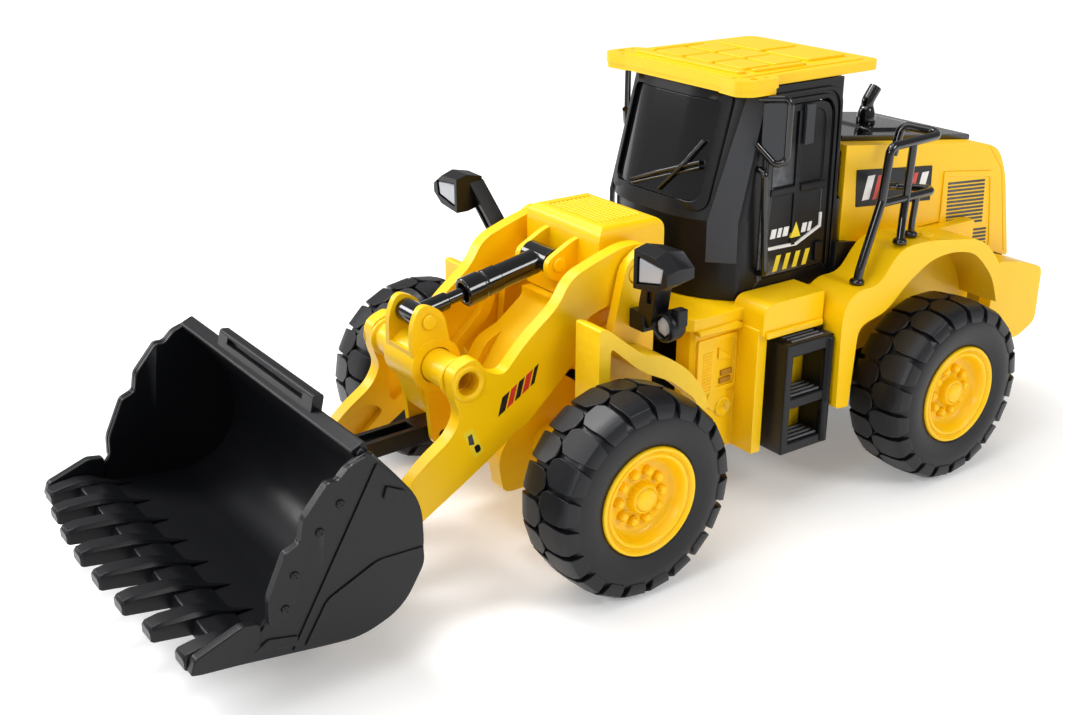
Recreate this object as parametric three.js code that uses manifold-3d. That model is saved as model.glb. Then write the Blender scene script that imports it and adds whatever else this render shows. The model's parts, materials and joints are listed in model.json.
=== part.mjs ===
// Toy wheel loader, 1:24 class, built as separate plastic pieces.
// Millimetres. X is sideways (+X is the driver's left), the bucket faces -Y, +Z is up.
// The origin is on the ground under the middle of the whole machine.
import * as THREE from 'three';
import { mergeVertices } from 'three/addons/utils/BufferGeometryUtils.js';
import Module from 'manifold-3d';

const wasm = await Module();
wasm.setup();

// ---------------------------------------------------------------- driving dimensions
const GAP = 0.3; // air between pieces that touch

const WHEEL = {
  radius: 31, width: 22.8, inner: 44.6, rimRadius: 16.5, axleRadius: 2,
  front: -31.1, rear: 101, height: 31, turns: 24,
};
const STEER = { y: 15, pinRadius: 2.5, low: 23, high: 57, tongueLow: 30, tongueHigh: 50 };
const BOOM = { pivot: [-8, 84], inner: 21, outer: 25.8, tube: [-64.6, 60.9], tubeRadius: 5.2 };
const BUCKET = { pivot: [-90, 25], linkPin: [-94, 36.5], half: 57, wall: 2 };
const TILT = { ear: [-21, 83.5], rodPin: [-66.5, 74.5], barrelLength: 29.5, linkPin: [-62.5, 38] };
const CAB = { half: 31, floor: 67.3, sill: 93, top: 133.7, front: 19.6, back: 72.6, lean: 0.264, wall: 2 };
const DECK = 67; // top of the yellow deck under the cab
const HOOD = { half: 30.5, front: 77, slope: -0.12, crown: 111 };
const EXHAUST = { x: 6, y: 112.5, radius: 3.1, pipe: 1.8 };
const REAR_END = 169.5; // as far behind the origin as the middle teeth are ahead of it

// ---------------------------------------------------------------- finishes
const finish = (color, roughness, metalness) => new THREE.MeshStandardMaterial({ color, roughness, metalness });
const YELLOW = ['#f6b900', 0.38, 0];
const BLACK = ['#17181b', 0.5, 0];
const GLOSS_BLACK = ['#0b0c0e', 0.15, 0];
const RUBBER = ['#1c1d20', 0.8, 0];
const STEEL = ['#b9bcc0', 0.3, 1];
const LENS = ['#d9dde0', 0.12, 0.3];
const RED_LENS = ['#a51414', 0.2, 0];

// ---------------------------------------------------------------- solids
function solid(geometry) {
  const bare = geometry.clone();
  bare.deleteAttribute('normal');
  bare.deleteAttribute('uv');
  const merged = mergeVertices(bare, 1e-4);
  return new wasm.Manifold(new wasm.Mesh({
    numProp: 3,
    vertProperties: new Float32Array(merged.attributes.position.array),
    triVerts: new Uint32Array(merged.index.array),
  }));
}

function geometryOf(shape) {
  const mesh = shape.getMesh();
  const geometry = new THREE.BufferGeometry();
  geometry.setAttribute('position', new THREE.BufferAttribute(mesh.vertProperties, 3));
  geometry.setIndex(new THREE.BufferAttribute(mesh.triVerts, 1));
  geometry.computeVertexNormals();
  return geometry;
}

const join = (...shapes) => shapes.reduce((total, next) => total.add(next));
const cut = (shape, ...tools) => tools.reduce((left, tool) => left.subtract(tool), shape);

function block(x0, x1, y0, y1, z0, z1) {
  const box = new THREE.BoxGeometry(x1 - x0, y1 - y0, z1 - z0);
  return solid(box.translate((x0 + x1) / 2, (y0 + y1) / 2, (z0 + z1) / 2));
}

// A closed outline whose corners [a, b, radius] are rounded with short curves.
function outline(corners) {
  const shape = new THREE.Shape();
  const at = (i) => new THREE.Vector2(...corners[(i + corners.length) % corners.length].slice(0, 2));
  corners.forEach(([, , radius = 0], i) => {
    const corner = at(i);
    const from = at(i - 1).sub(corner);
    const to = at(i + 1).sub(corner);
    const reach = Math.min(radius, from.length() * 0.48, to.length() * 0.48);
    const start = corner.clone().add(from.setLength(reach));
    const end = corner.clone().add(to.setLength(reach));
    if (i === 0) shape.moveTo(start.x, start.y);
    else shape.lineTo(start.x, start.y);
    if (reach > 0) shape.quadraticCurveTo(corner.x, corner.y, end.x, end.y);
  });
  shape.closePath();
  return shape;
}

// The two ends of a stretch along x, lowest first, on the side given by +1 or -1.
const span = (side, x0, x1) => [Math.min(side * x0, side * x1), Math.max(side * x0, side * x1)];

const AXES = {
  x: [[0, 1, 0], [0, 0, 1], [1, 0, 0]], // outline in (y, z), depth along x
  y: [[0, 0, 1], [1, 0, 0], [0, 1, 0]], // outline in (z, x), depth along y
  z: [[1, 0, 0], [0, 1, 0], [0, 0, 1]], // outline in (x, y), depth along z
};

function prism(axis, from, to, corners, steps) {
  const shape = Array.isArray(corners) ? outline(corners) : corners;
  const geometry = new THREE.ExtrudeGeometry(shape, {
    depth: to - from, bevelEnabled: false, curveSegments: steps,
  });
  const basis = AXES[axis].map((column) => new THREE.Vector3(...column));
  geometry.translate(0, 0, from);
  return geometry.applyMatrix4(new THREE.Matrix4().makeBasis(...basis));
}

const extrude = (axis, from, to, corners, steps = 3) => solid(prism(axis, from, to, corners, steps));

// A prism that leans along y, by slope for each millimetre of height above z = foot.
function leaning(axis, from, to, corners, slope, foot, steps = 3) {
  const lean = new THREE.Matrix4().makeShear(0, 0, 0, 0, 0, slope);
  const geometry = prism(axis, from, to, corners, steps).translate(0, 0, -foot);
  return solid(geometry.applyMatrix4(lean).translate(0, 0, foot));
}

// A plate lying in the (y, z) plane between two x positions, on the side given by +1 or -1.
function sidePlate(side, x0, x1, corners, steps = 3) {
  return extrude('x', ...span(side, x0, x1), corners, steps);
}

// A block whose face looks along y, with an outline of [z, x] corners, on the side given by +1 or -1.
const facingCorners = (side, corners) => corners.map(([z, x, r]) => [z, side * x, r]);
const facing = (side, y0, y1, corners) => extrude('y', y0, y1, facingCorners(side, corners));

function cylinderX(x0, x1, y, z, radius, turns = 12) {
  const body = new THREE.CylinderGeometry(radius, radius, x1 - x0, turns);
  return solid(body.rotateZ(Math.PI / 2).translate((x0 + x1) / 2, y, z));
}

function cylinderZ(x, y, z0, z1, radius, turns = 12) {
  const body = new THREE.CylinderGeometry(radius, radius, z1 - z0, turns);
  return solid(body.rotateX(Math.PI / 2).translate(x, y, (z0 + z1) / 2));
}

function alongY(radius, from, to, turns) {
  return solid(new THREE.CylinderGeometry(radius, radius, to - from, turns).translate(0, (from + to) / 2, 0));
}

// A round bar through points [x, y, z], with soft bends.
function tube(points, radius, steps, sides = 8) {
  const path = new THREE.CatmullRomCurve3(points.map((p) => new THREE.Vector3(...p)), false, 'catmullrom', 0.35);
  const corner = (i) => new THREE.Vector2(radius, 0).rotateAround(new THREE.Vector2(), (2 * Math.PI * i) / sides);
  const section = new THREE.Shape(Array.from({ length: sides }, (_, i) => corner(i)));
  return solid(new THREE.ExtrudeGeometry(section, { steps, extrudePath: path, bevelEnabled: false }));
}

// A ring or disc turned about the x axis from a profile of [x, radius] points.
function turned(profile, turns) {
  const points = profile.map(([x, r]) => new THREE.Vector2(r, x));
  return solid(new THREE.LatheGeometry(points, turns).rotateZ(-Math.PI / 2));
}

// ---------------------------------------------------------------- the scene graph
const loader = new THREE.Group();

function add(name, shape, look, parent = loader) {
  const mesh = new THREE.Mesh(geometryOf(shape), finish(...look));
  mesh.name = name;
  parent.add(mesh);
  return mesh;
}

const SIDES = [['left', 1], ['right', -1]];

// ---------------------------------------------------------------- wheels
function tyreShape() {
  const { radius, width, rimRadius } = WHEEL;
  const bead = rimRadius + GAP;
  const profile = [
    [0.8, bead], [0, 26], [1.6, radius - 1.6], [4, radius],
    [width - 4, radius], [width - 1.6, radius - 1.6], [width, 26], [width - 0.8, bead], [0.8, bead],
  ];
  return turned(profile, WHEEL.turns);
}

function rimShape() {
  const { width, rimRadius, axleRadius } = WHEEL;
  const bore = axleRadius + GAP;
  const dish = [
    [3, bore], [3, 9], [1.5, rimRadius], [width - 0.4, rimRadius], [width - 2.2, 13.6], [width - 5.4, 12.4],
    [width - 5.4, 6], [width - 1.2, 4], [width - 1.2, 0], [width - 4.5, 0], [width - 4.5, bore], [3, bore],
  ];
  return turned(dish, WHEEL.turns);
}

function addWheelset(name, y) {
  const set = new THREE.Group();
  set.position.set(0, y, WHEEL.height);
  loader.add(set);
  const reach = WHEEL.inner + WHEEL.width - 4.9;
  add(`${name}_axle`, cylinderX(-reach, reach, 0, 0, WHEEL.axleRadius), STEEL, set);
  for (const [label, side] of SIDES) {
    const wheel = new THREE.Group();
    wheel.position.x = side * WHEEL.inner;
    wheel.rotation.z = side > 0 ? 0 : Math.PI;
    set.add(wheel);
    add(`${name}_rim_${label}`, rimShape(), YELLOW, wheel);
    add(`${name}_tyre_${label}`, tyreShape(), RUBBER, wheel);
  }
}

addWheelset('front', WHEEL.front);
addWheelset('rear', WHEEL.rear);

// ---------------------------------------------------------------- front unit
function frontFrame() {
  const core = extrude('x', -17, 17, [
    [-43, 19, 3], [-44, 36, 3], [-30, 56, 4], [-17, 66, 3], [-17, 69], [0, 69], [0, 19, 2],
  ]);
  const shell = SIDES.map(([, side]) => join(
    sidePlate(side, 12, 18, [[-48, 18, 3], [-50, 30, 4], [-34, 55, 3], [-6, 66], [-2, 40], [-6, 18, 3]]),
    sidePlate(side, 26.6, 30, [[-20, 34, 2], [-17, 66, 2], [-12, 88, 4], [-4, 92, 4], [-1, 88, 3], [-1, 34, 2]]),
    block(...span(side, 16, 28), -20, -3, 34, 46),
  ));
  const axleTube = cylinderX(-36, 36, WHEEL.front, WHEEL.height, 6.5, 12);
  const earPlan = [[-11, -2], [-11, 15, 10], [0, 25, 10], [11, 15, 10], [11, -2]];
  const lowEar = extrude('z', 24, STEER.tongueLow - GAP, earPlan);
  const highEar = extrude('z', STEER.tongueHigh + GAP, 56, earPlan);
  const bearing = cylinderX(-40, 40, WHEEL.front, WHEEL.height, WHEEL.axleRadius + 0.4, 12);
  const kingpin = cylinderZ(0, STEER.y, 20, 60, STEER.pinRadius + GAP, 12);
  return cut(join(core, ...shell, axleTube, lowEar, highEar), bearing, kingpin,
    cylinderX(-31, 31, ...BOOM.pivot, 3 + GAP, 12));
}

// The hood over the boom pivot, with the two ears that hold the tilt cylinder.
function loaderHood() {
  const shell = extrude('x', -18.7, 18.7, [
    [-13.7, 69.4], [-13.7, 95.9, 5], [11.6, 95.9, 5], [11.6, 69.4],
  ], 4);
  const neck = extrude('z', 69.4, 91, [[-13.5, 11], [-13.5, 15.6, 4], [13.5, 15.6, 4], [13.5, 11]]);
  const crown = extrude('y', -15, 20, [[60, -18.8], [95.95, -18.8, 5], [95.95, 18.8, 5], [60, 18.8]], 4);
  const ears = SIDES.map(([, side]) => sidePlate(side, 6.4, 8.6, [
    [-12, 91], [-16, 90, 2], [-25.5, 85, 4], [-25, 79.5, 4], [-19, 77.5, 3], [-12, 80],
  ]));
  const hollow = block(-16.5, 16.5, -11.6, 9.4, 60, 93.5);
  const vent = block(-12.5, 12.5, -9.5, 7, 95.2, 97);
  const pinHole = cylinderX(-10, 10, ...TILT.ear, 1.5 + GAP);
  const boomHole = cylinderX(-20, 20, ...BOOM.pivot, 3 + GAP);
  const box = cut(shell.intersect(crown), vent);
  return cut(join(box, neck, ...ears), hollow, pinHole, boomHole);
}

// A narrow arch on the frame's flank, inboard of the tyre; its tail stays clear of the rear body.
function frontFender(side) {
  const crown = [[-30.6, 74.4, 1], [-27.6, 74, 2], [-13.8, 62.9, 3], [-6.8, 61.7, 4]];
  const band = [
    [-30.6, 46], ...crown, [2.8, 55.2, 4], [9.3, 47.7, 3], [12.9, 39.9], [8.4, 39.9], [6.5, 44.4, 2],
    [-2.9, 52.2, 4], [-14.7, 58, 4], [-26.4, 68.2, 2], [-27, 46],
  ];
  const wall = cut(sidePlate(side, 30.3, 32.4, [[-30.6, 47], ...crown, [-4, 57.5], [-4, 36], [-26, 36]]),
    cylinderX(-60, 60, WHEEL.front, WHEEL.height, 7.5, 12));
  const clearance = block(...span(side, 29, 35.5), -3, 20, 30, 70);
  return cut(join(sidePlate(side, 30.3, 41.6, band), wall), clearance);
}

// Lamp housing outboard of the loader hood, on a bracket that leans back to the frame's flank.
function headlight(side) {
  const housing = facing(side, -22.8, -12.5, [
    [87.2, 46.2], [98.6, 46.2, 1], [99.4, 55.5], [95.6, 60.8, 1], [91.6, 61, 1], [88.6, 56],
  ]);
  const pocket = facing(side, -24, -19.4, [[89, 48.4], [96.4, 48.4], [95.2, 58.4], [91, 57.4]]);
  const bracket = leaning('y', -15.8, -9.8, facingCorners(side, [
    [97, 46.6], [97, 52.4], [86, 46.8], [75, 41.6], [69.6, 38.4], [68.4, 35], [72, 33.4], [78, 36],
  ]), -0.3, 90);
  const boss = solid(new THREE.CylinderGeometry(4.4, 4, 6, 14).translate(side * 43.5, -6.5, 71.5));
  const lampHole = solid(new THREE.CylinderGeometry(3 + GAP, 3 + GAP, 3, 14).translate(side * 43.5, -9, 71.5));
  const foot = block(...span(side, 30.3, 37), -11, -5, 68, 74);
  return cut(join(cut(housing, pocket), bracket, boss, foot), lampHole);
}

const headlightLens = (side) => facing(side, -22.4, -19.7, [[89.3, 48.7], [96.1, 48.7], [94.9, 58.1], [91.2, 57.1]]);

const indicatorLens = (side) => solid(new THREE.CylinderGeometry(3, 3, 1.8, 14).translate(side * 43.5, -8.7, 71.5));

const frontUnit = new THREE.Group();
loader.add(frontUnit);
add('front_frame', frontFrame(), YELLOW, frontUnit);
add('loader_hood', loaderHood(), YELLOW, frontUnit);
add('steering_pin', cylinderZ(0, STEER.y, STEER.low, STEER.high, STEER.pinRadius), STEEL, frontUnit);
add('boom_pivot_pin', cylinderX(-30, 30, ...BOOM.pivot, 3), STEEL, frontUnit);
for (const [label, side] of SIDES) {
  add(`front_fender_${label}`, frontFender(side), YELLOW, frontUnit);
  add(`headlight_${label}`, headlight(side), BLACK, frontUnit);
  add(`headlight_lens_${label}`, headlightLens(side), LENS, frontUnit);
  add(`indicator_lens_${label}`, indicatorLens(side), LENS, frontUnit);
}

// ---------------------------------------------------------------- boom
function boomArm(side) {
  const { inner, outer, pivot, tube: eye } = BOOM;
  const edge = [
    [-96, 25, 6], [-89, 17.4, 5], [-80.2, 22.5], [-62.3, 32.8, 6], [-48, 42, 8], [-45, 43, 3], [-25.4, 60.6, 6],
    [-24, 71.6, 4], [-9.5, 75.8, 6], [1, 77, 7], [1, 90.5, 7], [-8, 92, 8], [-17, 89.6, 8], [-29, 85.4, 8],
    [-33.6, 77.6, 6], [-44.5, 69.6, 6], [-53, 60.6, 6], [-59, 63.6, 3], [-62, 68.6, 5], [-70.4, 65.6, 6],
    [-69.6, 57, 5], [-67.4, 51.6, 4], [-70.6, 45.6, 5], [-80.4, 39.2, 6], [-88, 31.6, 6],
  ];
  const hole = ([y, z], radius) => cylinderX(...span(side, inner - 1, outer + 1), y, z, radius, 12);
  return cut(sidePlate(side, inner, outer, edge), hole(pivot, 3 + GAP), hole(eye, 3.5), hole(BUCKET.pivot, 2 + GAP));
}

function crossTube() {
  const { inner, tube: eye, tubeRadius } = BOOM;
  const reach = inner - GAP;
  return cut(cylinderX(-reach, reach, ...eye, tubeRadius, 16), cylinderX(-30, 30, ...eye, 3.5, 14));
}

function bellcrank() {
  const { tube: eye, tubeRadius } = BOOM;
  const side = ([, sign]) => sidePlate(sign, 5.6, 7.8, [
    [-61.5, 77, 3.5], [-69, 80.5, 5], [-72.2, 74, 3], [-72.4, 62, 6], [-67.5, 50, 6], [-66.2, 34.6, 4],
    [-58.6, 34.6, 4], [-58, 42, 5], [-57.4, 58, 6], [-59, 64, 5],
  ]);
  const web = extrude('x', -6, 6, [[-72.2, 66], [-71.2, 57], [-66.6, 45], [-64.4, 45], [-68.4, 54], [-69.8, 66]]);
  const hub = cylinderX(-8.4, 8.4, ...eye, tubeRadius + 3, 16);
  return cut(join(...SIDES.map(side), web, hub), cylinderX(-30, 30, ...eye, tubeRadius + GAP, 16),
    cylinderX(-30, 30, ...TILT.rodPin, 1.5 + GAP), cylinderX(-30, 30, ...TILT.linkPin, 1.3 + GAP));
}

// Flat link bar from the foot of the bellcrank to the slotted lugs on the bucket's back.
function tiltLink() {
  const [y0, z0] = TILT.linkPin;
  const [y1, z1] = BUCKET.linkPin;
  const bar = extrude('x', -4.2, 4.2, [
    [y0 + 3.4, z0 - 2.6, 2], [y0 + 3.4, z0 + 2.6, 2], [y1 - 2.6, z1 + 2.6, 2], [y1 - 2.6, z1 - 2.6, 2],
  ]);
  const groove = block(-2.4, 2.4, y1 + 7, y0 - 7, z1 + 1, z1 + 6);
  const pins = [cylinderX(-7.6, 7.6, y1, z1, 1.2, 12), cylinderX(-8.2, 8.2, y0, z0, 1.3, 12)];
  return join(cut(bar, groove), ...pins);
}

// The cylinder is drawn along +Y from its own ear pin and turned into line below.
function tiltBarrel() {
  const length = TILT.barrelLength;
  const rod = (radius, from, to) => alongY(radius, from, to, 14);
  const body = join(rod(3.9, 3, length), rod(4.5, length - 6, length), cylinderX(-6, 6, 0, 0, 4, 14));
  return cut(body, rod(3.3, 5, length + 5), cylinderX(-7, 7, 0, 0, 1.5 + GAP, 12));
}

function tiltRod(reach) {
  const body = join(alongY(2.7, reach - 11, reach - 2, 14), alongY(1.9, reach - 35, reach - 9, 12),
    cylinderX(-5.2, 5.2, reach, 0, 3.6, 14));
  return cut(body, cylinderX(-7, 7, reach, 0, 1.5 + GAP, 12));
}

const boom = new THREE.Group();
loader.add(boom);
for (const [label, side] of SIDES) add(`boom_arm_${label}`, boomArm(side), YELLOW, boom);
add('boom_cross_tube', crossTube(), YELLOW, boom);
add('bellcrank', bellcrank(), YELLOW, boom);
add('tilt_rod_pin', cylinderX(-8.9, 8.9, ...TILT.rodPin, 1.5), YELLOW, boom);
add('tilt_link', tiltLink(), BLACK, boom);

const cylinderGroup = new THREE.Group();
const earToRod = [TILT.rodPin[0] - TILT.ear[0], TILT.rodPin[1] - TILT.ear[1]];
cylinderGroup.position.set(0, ...TILT.ear);
cylinderGroup.rotation.x = Math.atan2(earToRod[1], earToRod[0]);
loader.add(cylinderGroup);
add('tilt_barrel', tiltBarrel(), GLOSS_BLACK, cylinderGroup);
add('tilt_rod', tiltRod(Math.hypot(...earToRod)), GLOSS_BLACK, cylinderGroup);
add('tilt_ear_pin', cylinderX(-9.6, 9.6, 0, 0, 1.5), YELLOW, cylinderGroup);

// ---------------------------------------------------------------- bucket
function bucketShell() {
  const { half, wall, pivot, linkPin } = BUCKET;
  const sheetEdge = [
    [-161, 20.6], [-127.5, 15.6, 4], [-118, 14.8, 10], [-106, 19, 12], [-99.4, 31, 14], [-100.4, 46, 12],
    [-114.6, 66.6], [-116.4, 65.4], [-102.8, 46, 12], [-101.8, 31.6, 13], [-108, 21.4, 11], [-118.4, 17.4, 9],
    [-127.5, 18.2, 4], [-160.6, 22.6],
  ];
  const sheet = extrude('x', -half + wall / 2, half - wall / 2, sheetEdge, 3);
  const cheekEdge = [
    [-162, 20.2], [-127.5, 15.4], [-118, 14.4, 10], [-105.6, 18.6, 12], [-98.6, 31, 14], [-99, 48, 10],
    [-112.6, 65.2], [-114.4, 65.6], [-119.4, 63.6], [-122.6, 60.6], [-125.4, 60.8], [-132.6, 52.6],
    [-133.6, 47], [-137.6, 45.4], [-143, 34], [-143.2, 28.6], [-145, 26.2],
  ];
  const pieces = [sheet];
  for (const [, side] of SIDES) {
    pieces.push(sidePlate(side, half - wall, half, cheekEdge));
    for (const [x0, x1] of [[18.2, 20.6], [26.4, 28.8]]) {
      pieces.push(sidePlate(side, x0, x1, [[-104, 20], [-90, 19.4, 5], [-84.6, 25, 5], [-90, 31, 5], [-101.6, 40]]));
    }
    pieces.push(sidePlate(side, 5, 7.2, [
      [-101, 31], [-92, 31.4, 3], [-90.4, 38, 3], [-91, 44, 3], [-97, 46, 3], [-102.6, 47],
    ]));
  }
  const lip = extrude('x', -30, 30, [[-113, 64], [-111.4, 71, 2], [-114.6, 71.4, 2], [-116, 65.6]]);
  const [y, z] = linkPin;
  const slot = extrude('x', -9, 9, [[y - 2, z - 2, 1.4], [y + 2, z - 2, 1.4], [y + 2, z + 5.2, 1.4], [y - 2, z + 5.2, 1.4]]);
  return cut(join(...pieces, lip), slot, cylinderX(-40, 40, ...pivot, 2 + GAP, 12));
}

// Bolt-on edge with its row of eight cast teeth; the middle teeth stand furthest forward.
function bucketEdge() {
  const half = BUCKET.half - 0.4;
  const teeth = [-3.5, -2.5, -1.5, -0.5, 0.5, 1.5, 2.5, 3.5].map((place) => {
    const x = place * 14.6;
    const bow = 5.6 * (1 - (x / 51.1) ** 2);
    const rise = 0.4 * bow;
    return extrude('x', x - 3.1, x + 3.1, [
      [-164 - bow, 21 + rise], [-161.5 - bow, 25.6 + rise], [-152, 25.4], [-145, 23.8],
      [-147, 18], [-160 - bow, 19.6 + rise],
    ]);
  });
  const bar = extrude('x', -half, half, [[-163, 21.3], [-160, 25], [-146, 24], [-146, 22.9], [-159.4, 23]]);
  const under = extrude('x', -70, 70, [[-162, 10], [-161.2, 20.3], [-160.6, 22.9], [-127.5, 18.5], [-127.5, 10]]);
  const flanks = SIDES.map(([, side]) => sidePlate(side, BUCKET.half - BUCKET.wall - 0.4, 70, [
    [-170, 40], [-146, 40], [-140, 24], [-141, 10], [-162.3, 10], [-162.3, 22],
  ]));
  return cut(join(...teeth, bar), under, ...flanks);
}

const bucket = new THREE.Group();
loader.add(bucket);
add('bucket_shell', bucketShell(), BLACK, bucket);
add('bucket_edge', bucketEdge(), BLACK, bucket);
for (const [label, side] of SIDES) {
  add(`bucket_pin_${label}`, cylinderX(...span(side, 17.4, 29.6), ...BUCKET.pivot, 2), STEEL, bucket);
}

// ---------------------------------------------------------------- rear unit
function rearBody() {
  const nose = extrude('z', 20, 64, [[-34.5, 11, 4], [34.5, 11, 4], [34.5, 34], [-34.5, 34]]);
  const deck = extrude('z', 63, DECK, [[-36, 8, 6], [36, 8, 6], [36, 34], [-36, 34]]);
  const middle = block(-40, 40, 31, 56, 20, DECK);
  const flanks = SIDES.map(([, side]) => join(
    sidePlate(side, 31.6, 45.4, [[30, 60, 1], [30, 68, 3], [32.4, 70.4, 2], [56, 70.4], [56, 60]]),
    sidePlate(side, 33, 44, [[29.4, 20], [29.4, 62], [33.4, 62], [33.4, 20]]),
    cylinderX(...span(side, 34, 35), 22, 38, 4.2, 12),
  ));
  const waist = extrude('x', -35, 35, [[54, 42], [54, DECK], [80, DECK], [80, 77], [140.6, 77], [140.6, 42]]);
  const hollowFront = extrude('z', 10, 62.6, [
    [-32, 13.4, 3], [32, 13.4, 3], [32, 31], [37.4, 34], [37.4, 53.6], [-37.4, 53.6], [-37.4, 34], [-32, 31],
  ]);
  const hollowRear = extrude('x', -32.6, 32.6, [
    [50, 30], [50, DECK - 2.4], [82.4, DECK - 2.4], [82.4, 74.6], [138.2, 74.6], [138.2, 30],
  ]);
  const throat = block(-27, 27, 4, 60, 10, 60);
  return cut(join(nose, deck, middle, ...flanks, waist), hollowFront, hollowRear, throat);
}

function rearChassis() {
  const rails = block(-26, 26, 27, 150, 20.4, 38);
  const tongue = extrude('z', STEER.tongueLow, STEER.tongueHigh, [[-9, 34], [-9, 15, 8], [0, 6, 9], [9, 15, 8], [9, 34]]);
  const post = block(-14, 14, 29, 44, 36, STEER.tongueHigh);
  const axleTube = cylinderX(-36, 36, WHEEL.rear, WHEEL.height, 6.5, 12);
  const trough = block(-23, 23, 50, 146, 24, 40);
  return cut(join(cut(rails, trough), tongue, post, axleTube),
    cylinderZ(0, STEER.y, 20, 60, STEER.pinRadius + GAP, 12),
    cylinderX(-40, 40, WHEEL.rear, WHEEL.height, WHEEL.axleRadius + 0.4, 12));
}

function counterweight() {
  const end = REAR_END;
  const body = extrude('x', -45, 45, [
    [141, 40, 2], [143, 63.6, 3], [154.6, 61.6, 3], [end, 57, 3], [end, 36, 3], [160, 31.6, 3], [147, 33, 2],
  ]);
  const pocket = block(-40, 40, 139, end - 3.4, 20, 54);
  const lampSeats = SIDES.map(([, side]) => block(...span(side, 32.7, 42.3), end - 1.6, end + 1, 41.7, 54.3));
  return cut(body, pocket, block(-31, 31, 139, end - 1.2, 52, 70), ...lampSeats);
}

function rearFender(side) {
  const band = [
    [57.2, 32, 1], [56.6, 62, 3], [58.4, 68, 4], [63, 71, 4], [72.4, 71, 4], [81, 81.4, 5], [93.4, 82, 8],
    [123, 77.6, 8], [134, 66, 6], [138, 55, 1], [133.6, 53], [130, 62.6, 6], [119, 73.6, 7], [107, 75.8, 6],
    [96.6, 75, 6], [86, 69, 4], [77, 61.2, 4], [64.6, 58.6, 4], [62.8, 31.4, 1],
  ];
  const flank = [
    [58.4, 42], [58.4, 68, 4], [63, 71, 4], [72.4, 71, 4], [81, 81.4, 5], [93.4, 82, 8], [123, 77.6, 8],
    [134, 66, 6], [138, 55, 1], [138, 42],
  ];
  return join(sidePlate(side, 35.3, 53, band, 4), sidePlate(side, 35.3, 37.6, flank, 4));
}

function ladder(side) {
  const frame = sidePlate(side, 40.4, 50.6, [[36, 20, 1], [36, 57.6, 1], [56.4, 57.6, 1], [56.4, 20, 1]]);
  const windows = [[23.6, 35.4], [39, 53]].map(([z0, z1]) => {
    const [x0, x1] = [side * 39, side * 52].sort((a, b) => a - b);
    return block(x0, x1, 39, 53.4, z0, z1);
  });
  const back = sidePlate(side, 40.4, 46, [[53, 22], [53, 66, 2], [56.2, 66, 2], [56.2, 22]]);
  return join(cut(frame, ...windows), back.intersect(block(-60, 60, 30, 60, 20, 57.7)));
}

// Guard rail on the rear fender: a leaning outer post, two rearward loops and two stays.
function handrail(side) {
  const place = (points) => points.map(([x, y, z]) => [side * x, y, z]);
  const post = [
    [48, 67.4, 71.5], [48, 68.6, 77], [48, 74.6, 93], [48, 76.6, 108], [48, 79, 113.4], [48, 86, 114],
    [48, 100.4, 114.6], [46.6, 103.2, 114.8], [37.6, 95.6, 116.6], [36.8, 92.6, 115], [36.8, 92, 108],
  ];
  const loop = [[48, 75.2, 96], [48, 99, 96.4], [46.4, 102.6, 96.4], [38, 95, 96.4], [37, 92, 97]];
  const stay = [[50, 83.6, 82.9], [48.6, 85.6, 90], [48, 87, 97], [48, 88, 114]];
  const prop = [[46.6, 92.6, 82.9], [47, 92.4, 88], [48, 92, 96.3]];
  const shoes = [[48, 67.4, 71.4, 2.4], [50, 83.6, 82.4, 2.3], [46.6, 92.6, 82.4, 2.3]].map(
    ([x, y, z, r]) => cylinderZ(side * x, y, z, z + 1.4, r, 8),
  );
  return join(tube(place(post), 1.4, 17, 6), tube(place(loop), 1.3, 8, 6), tube(place(stay), 1.3, 3, 6),
    tube(place(prop), 1.1, 2, 6), ...shoes);
}

// Plan of the cab: a bowed front with angled corner panels, and a square back.
function planOf(half, front, back) {
  const nose = [[half, 12, 2], [half * 0.74, 4.4, 5], [half * 0.4, 0, 9]];
  return [
    [-half, back, 3], ...nose.map(([x, y, r]) => [-x, front + y, r]),
    ...nose.reverse().map(([x, y, r]) => [x, front + y, r]), [half, back, 3],
  ];
}

// Upper cab box as a solid with a leaning front, moved inwards by the given wall thickness.
function cabBox(inset) {
  const { half, sill, top, front, back, lean } = CAB;
  const foot = inset ? sill - 1 : sill;
  const box = leaning('z', foot, top - inset, planOf(half - inset, front + inset, back + 20), lean, sill);
  return box.intersect(block(-40, 40, 0, back - inset, foot - 1, top));
}

const screenOpening = (shrink) => extrude('x', -21 + shrink, 21 - shrink, [
  [12, 98 + shrink, 2], [29, 98 + shrink], [36.6, 129 - shrink], [12, 129 - shrink],
]);

function cabShell() {
  const { half, floor, sill, wall, front } = CAB;
  const lower = extrude('z', floor, sill + 1, planOf(half, front + 1.6, 76.6));
  const hollow = join(extrude('z', floor - 1, sill, planOf(half - 2.4, front + 4, 74.4)), cabBox(wall));
  const doorways = extrude('x', -40, 40, [[41.5, 73, 1], [41.5, 127.6, 2], [68.6, 127.6, 2], [69.4, 73, 1]]);
  const rearWindow = block(-24, 24, 68, 90, 99, 126);
  return cut(join(lower, cabBox(0)), hollow, screenOpening(0), doorways, rearWindow);
}

// The windscreen fills the cab's front opening and follows the cab's lean and curve.
const windshield = () => cut(cabBox(0.2).intersect(screenOpening(GAP)), cabBox(1.6));

function door(side) {
  const leaf = [[41.8, 73.3, 1], [41.8, 127.3, 2], [68.3, 127.3, 2], [69.1, 73.3, 1]];
  const pane = [[44.8, 102, 2], [44.8, 124, 2], [65.4, 124, 3], [65.8, 102, 2]];
  return cut(sidePlate(side, CAB.half - 1.7, CAB.half + 0.2, leaf), sidePlate(side, CAB.half - 0.4, CAB.half + 1, pane));
}

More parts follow.
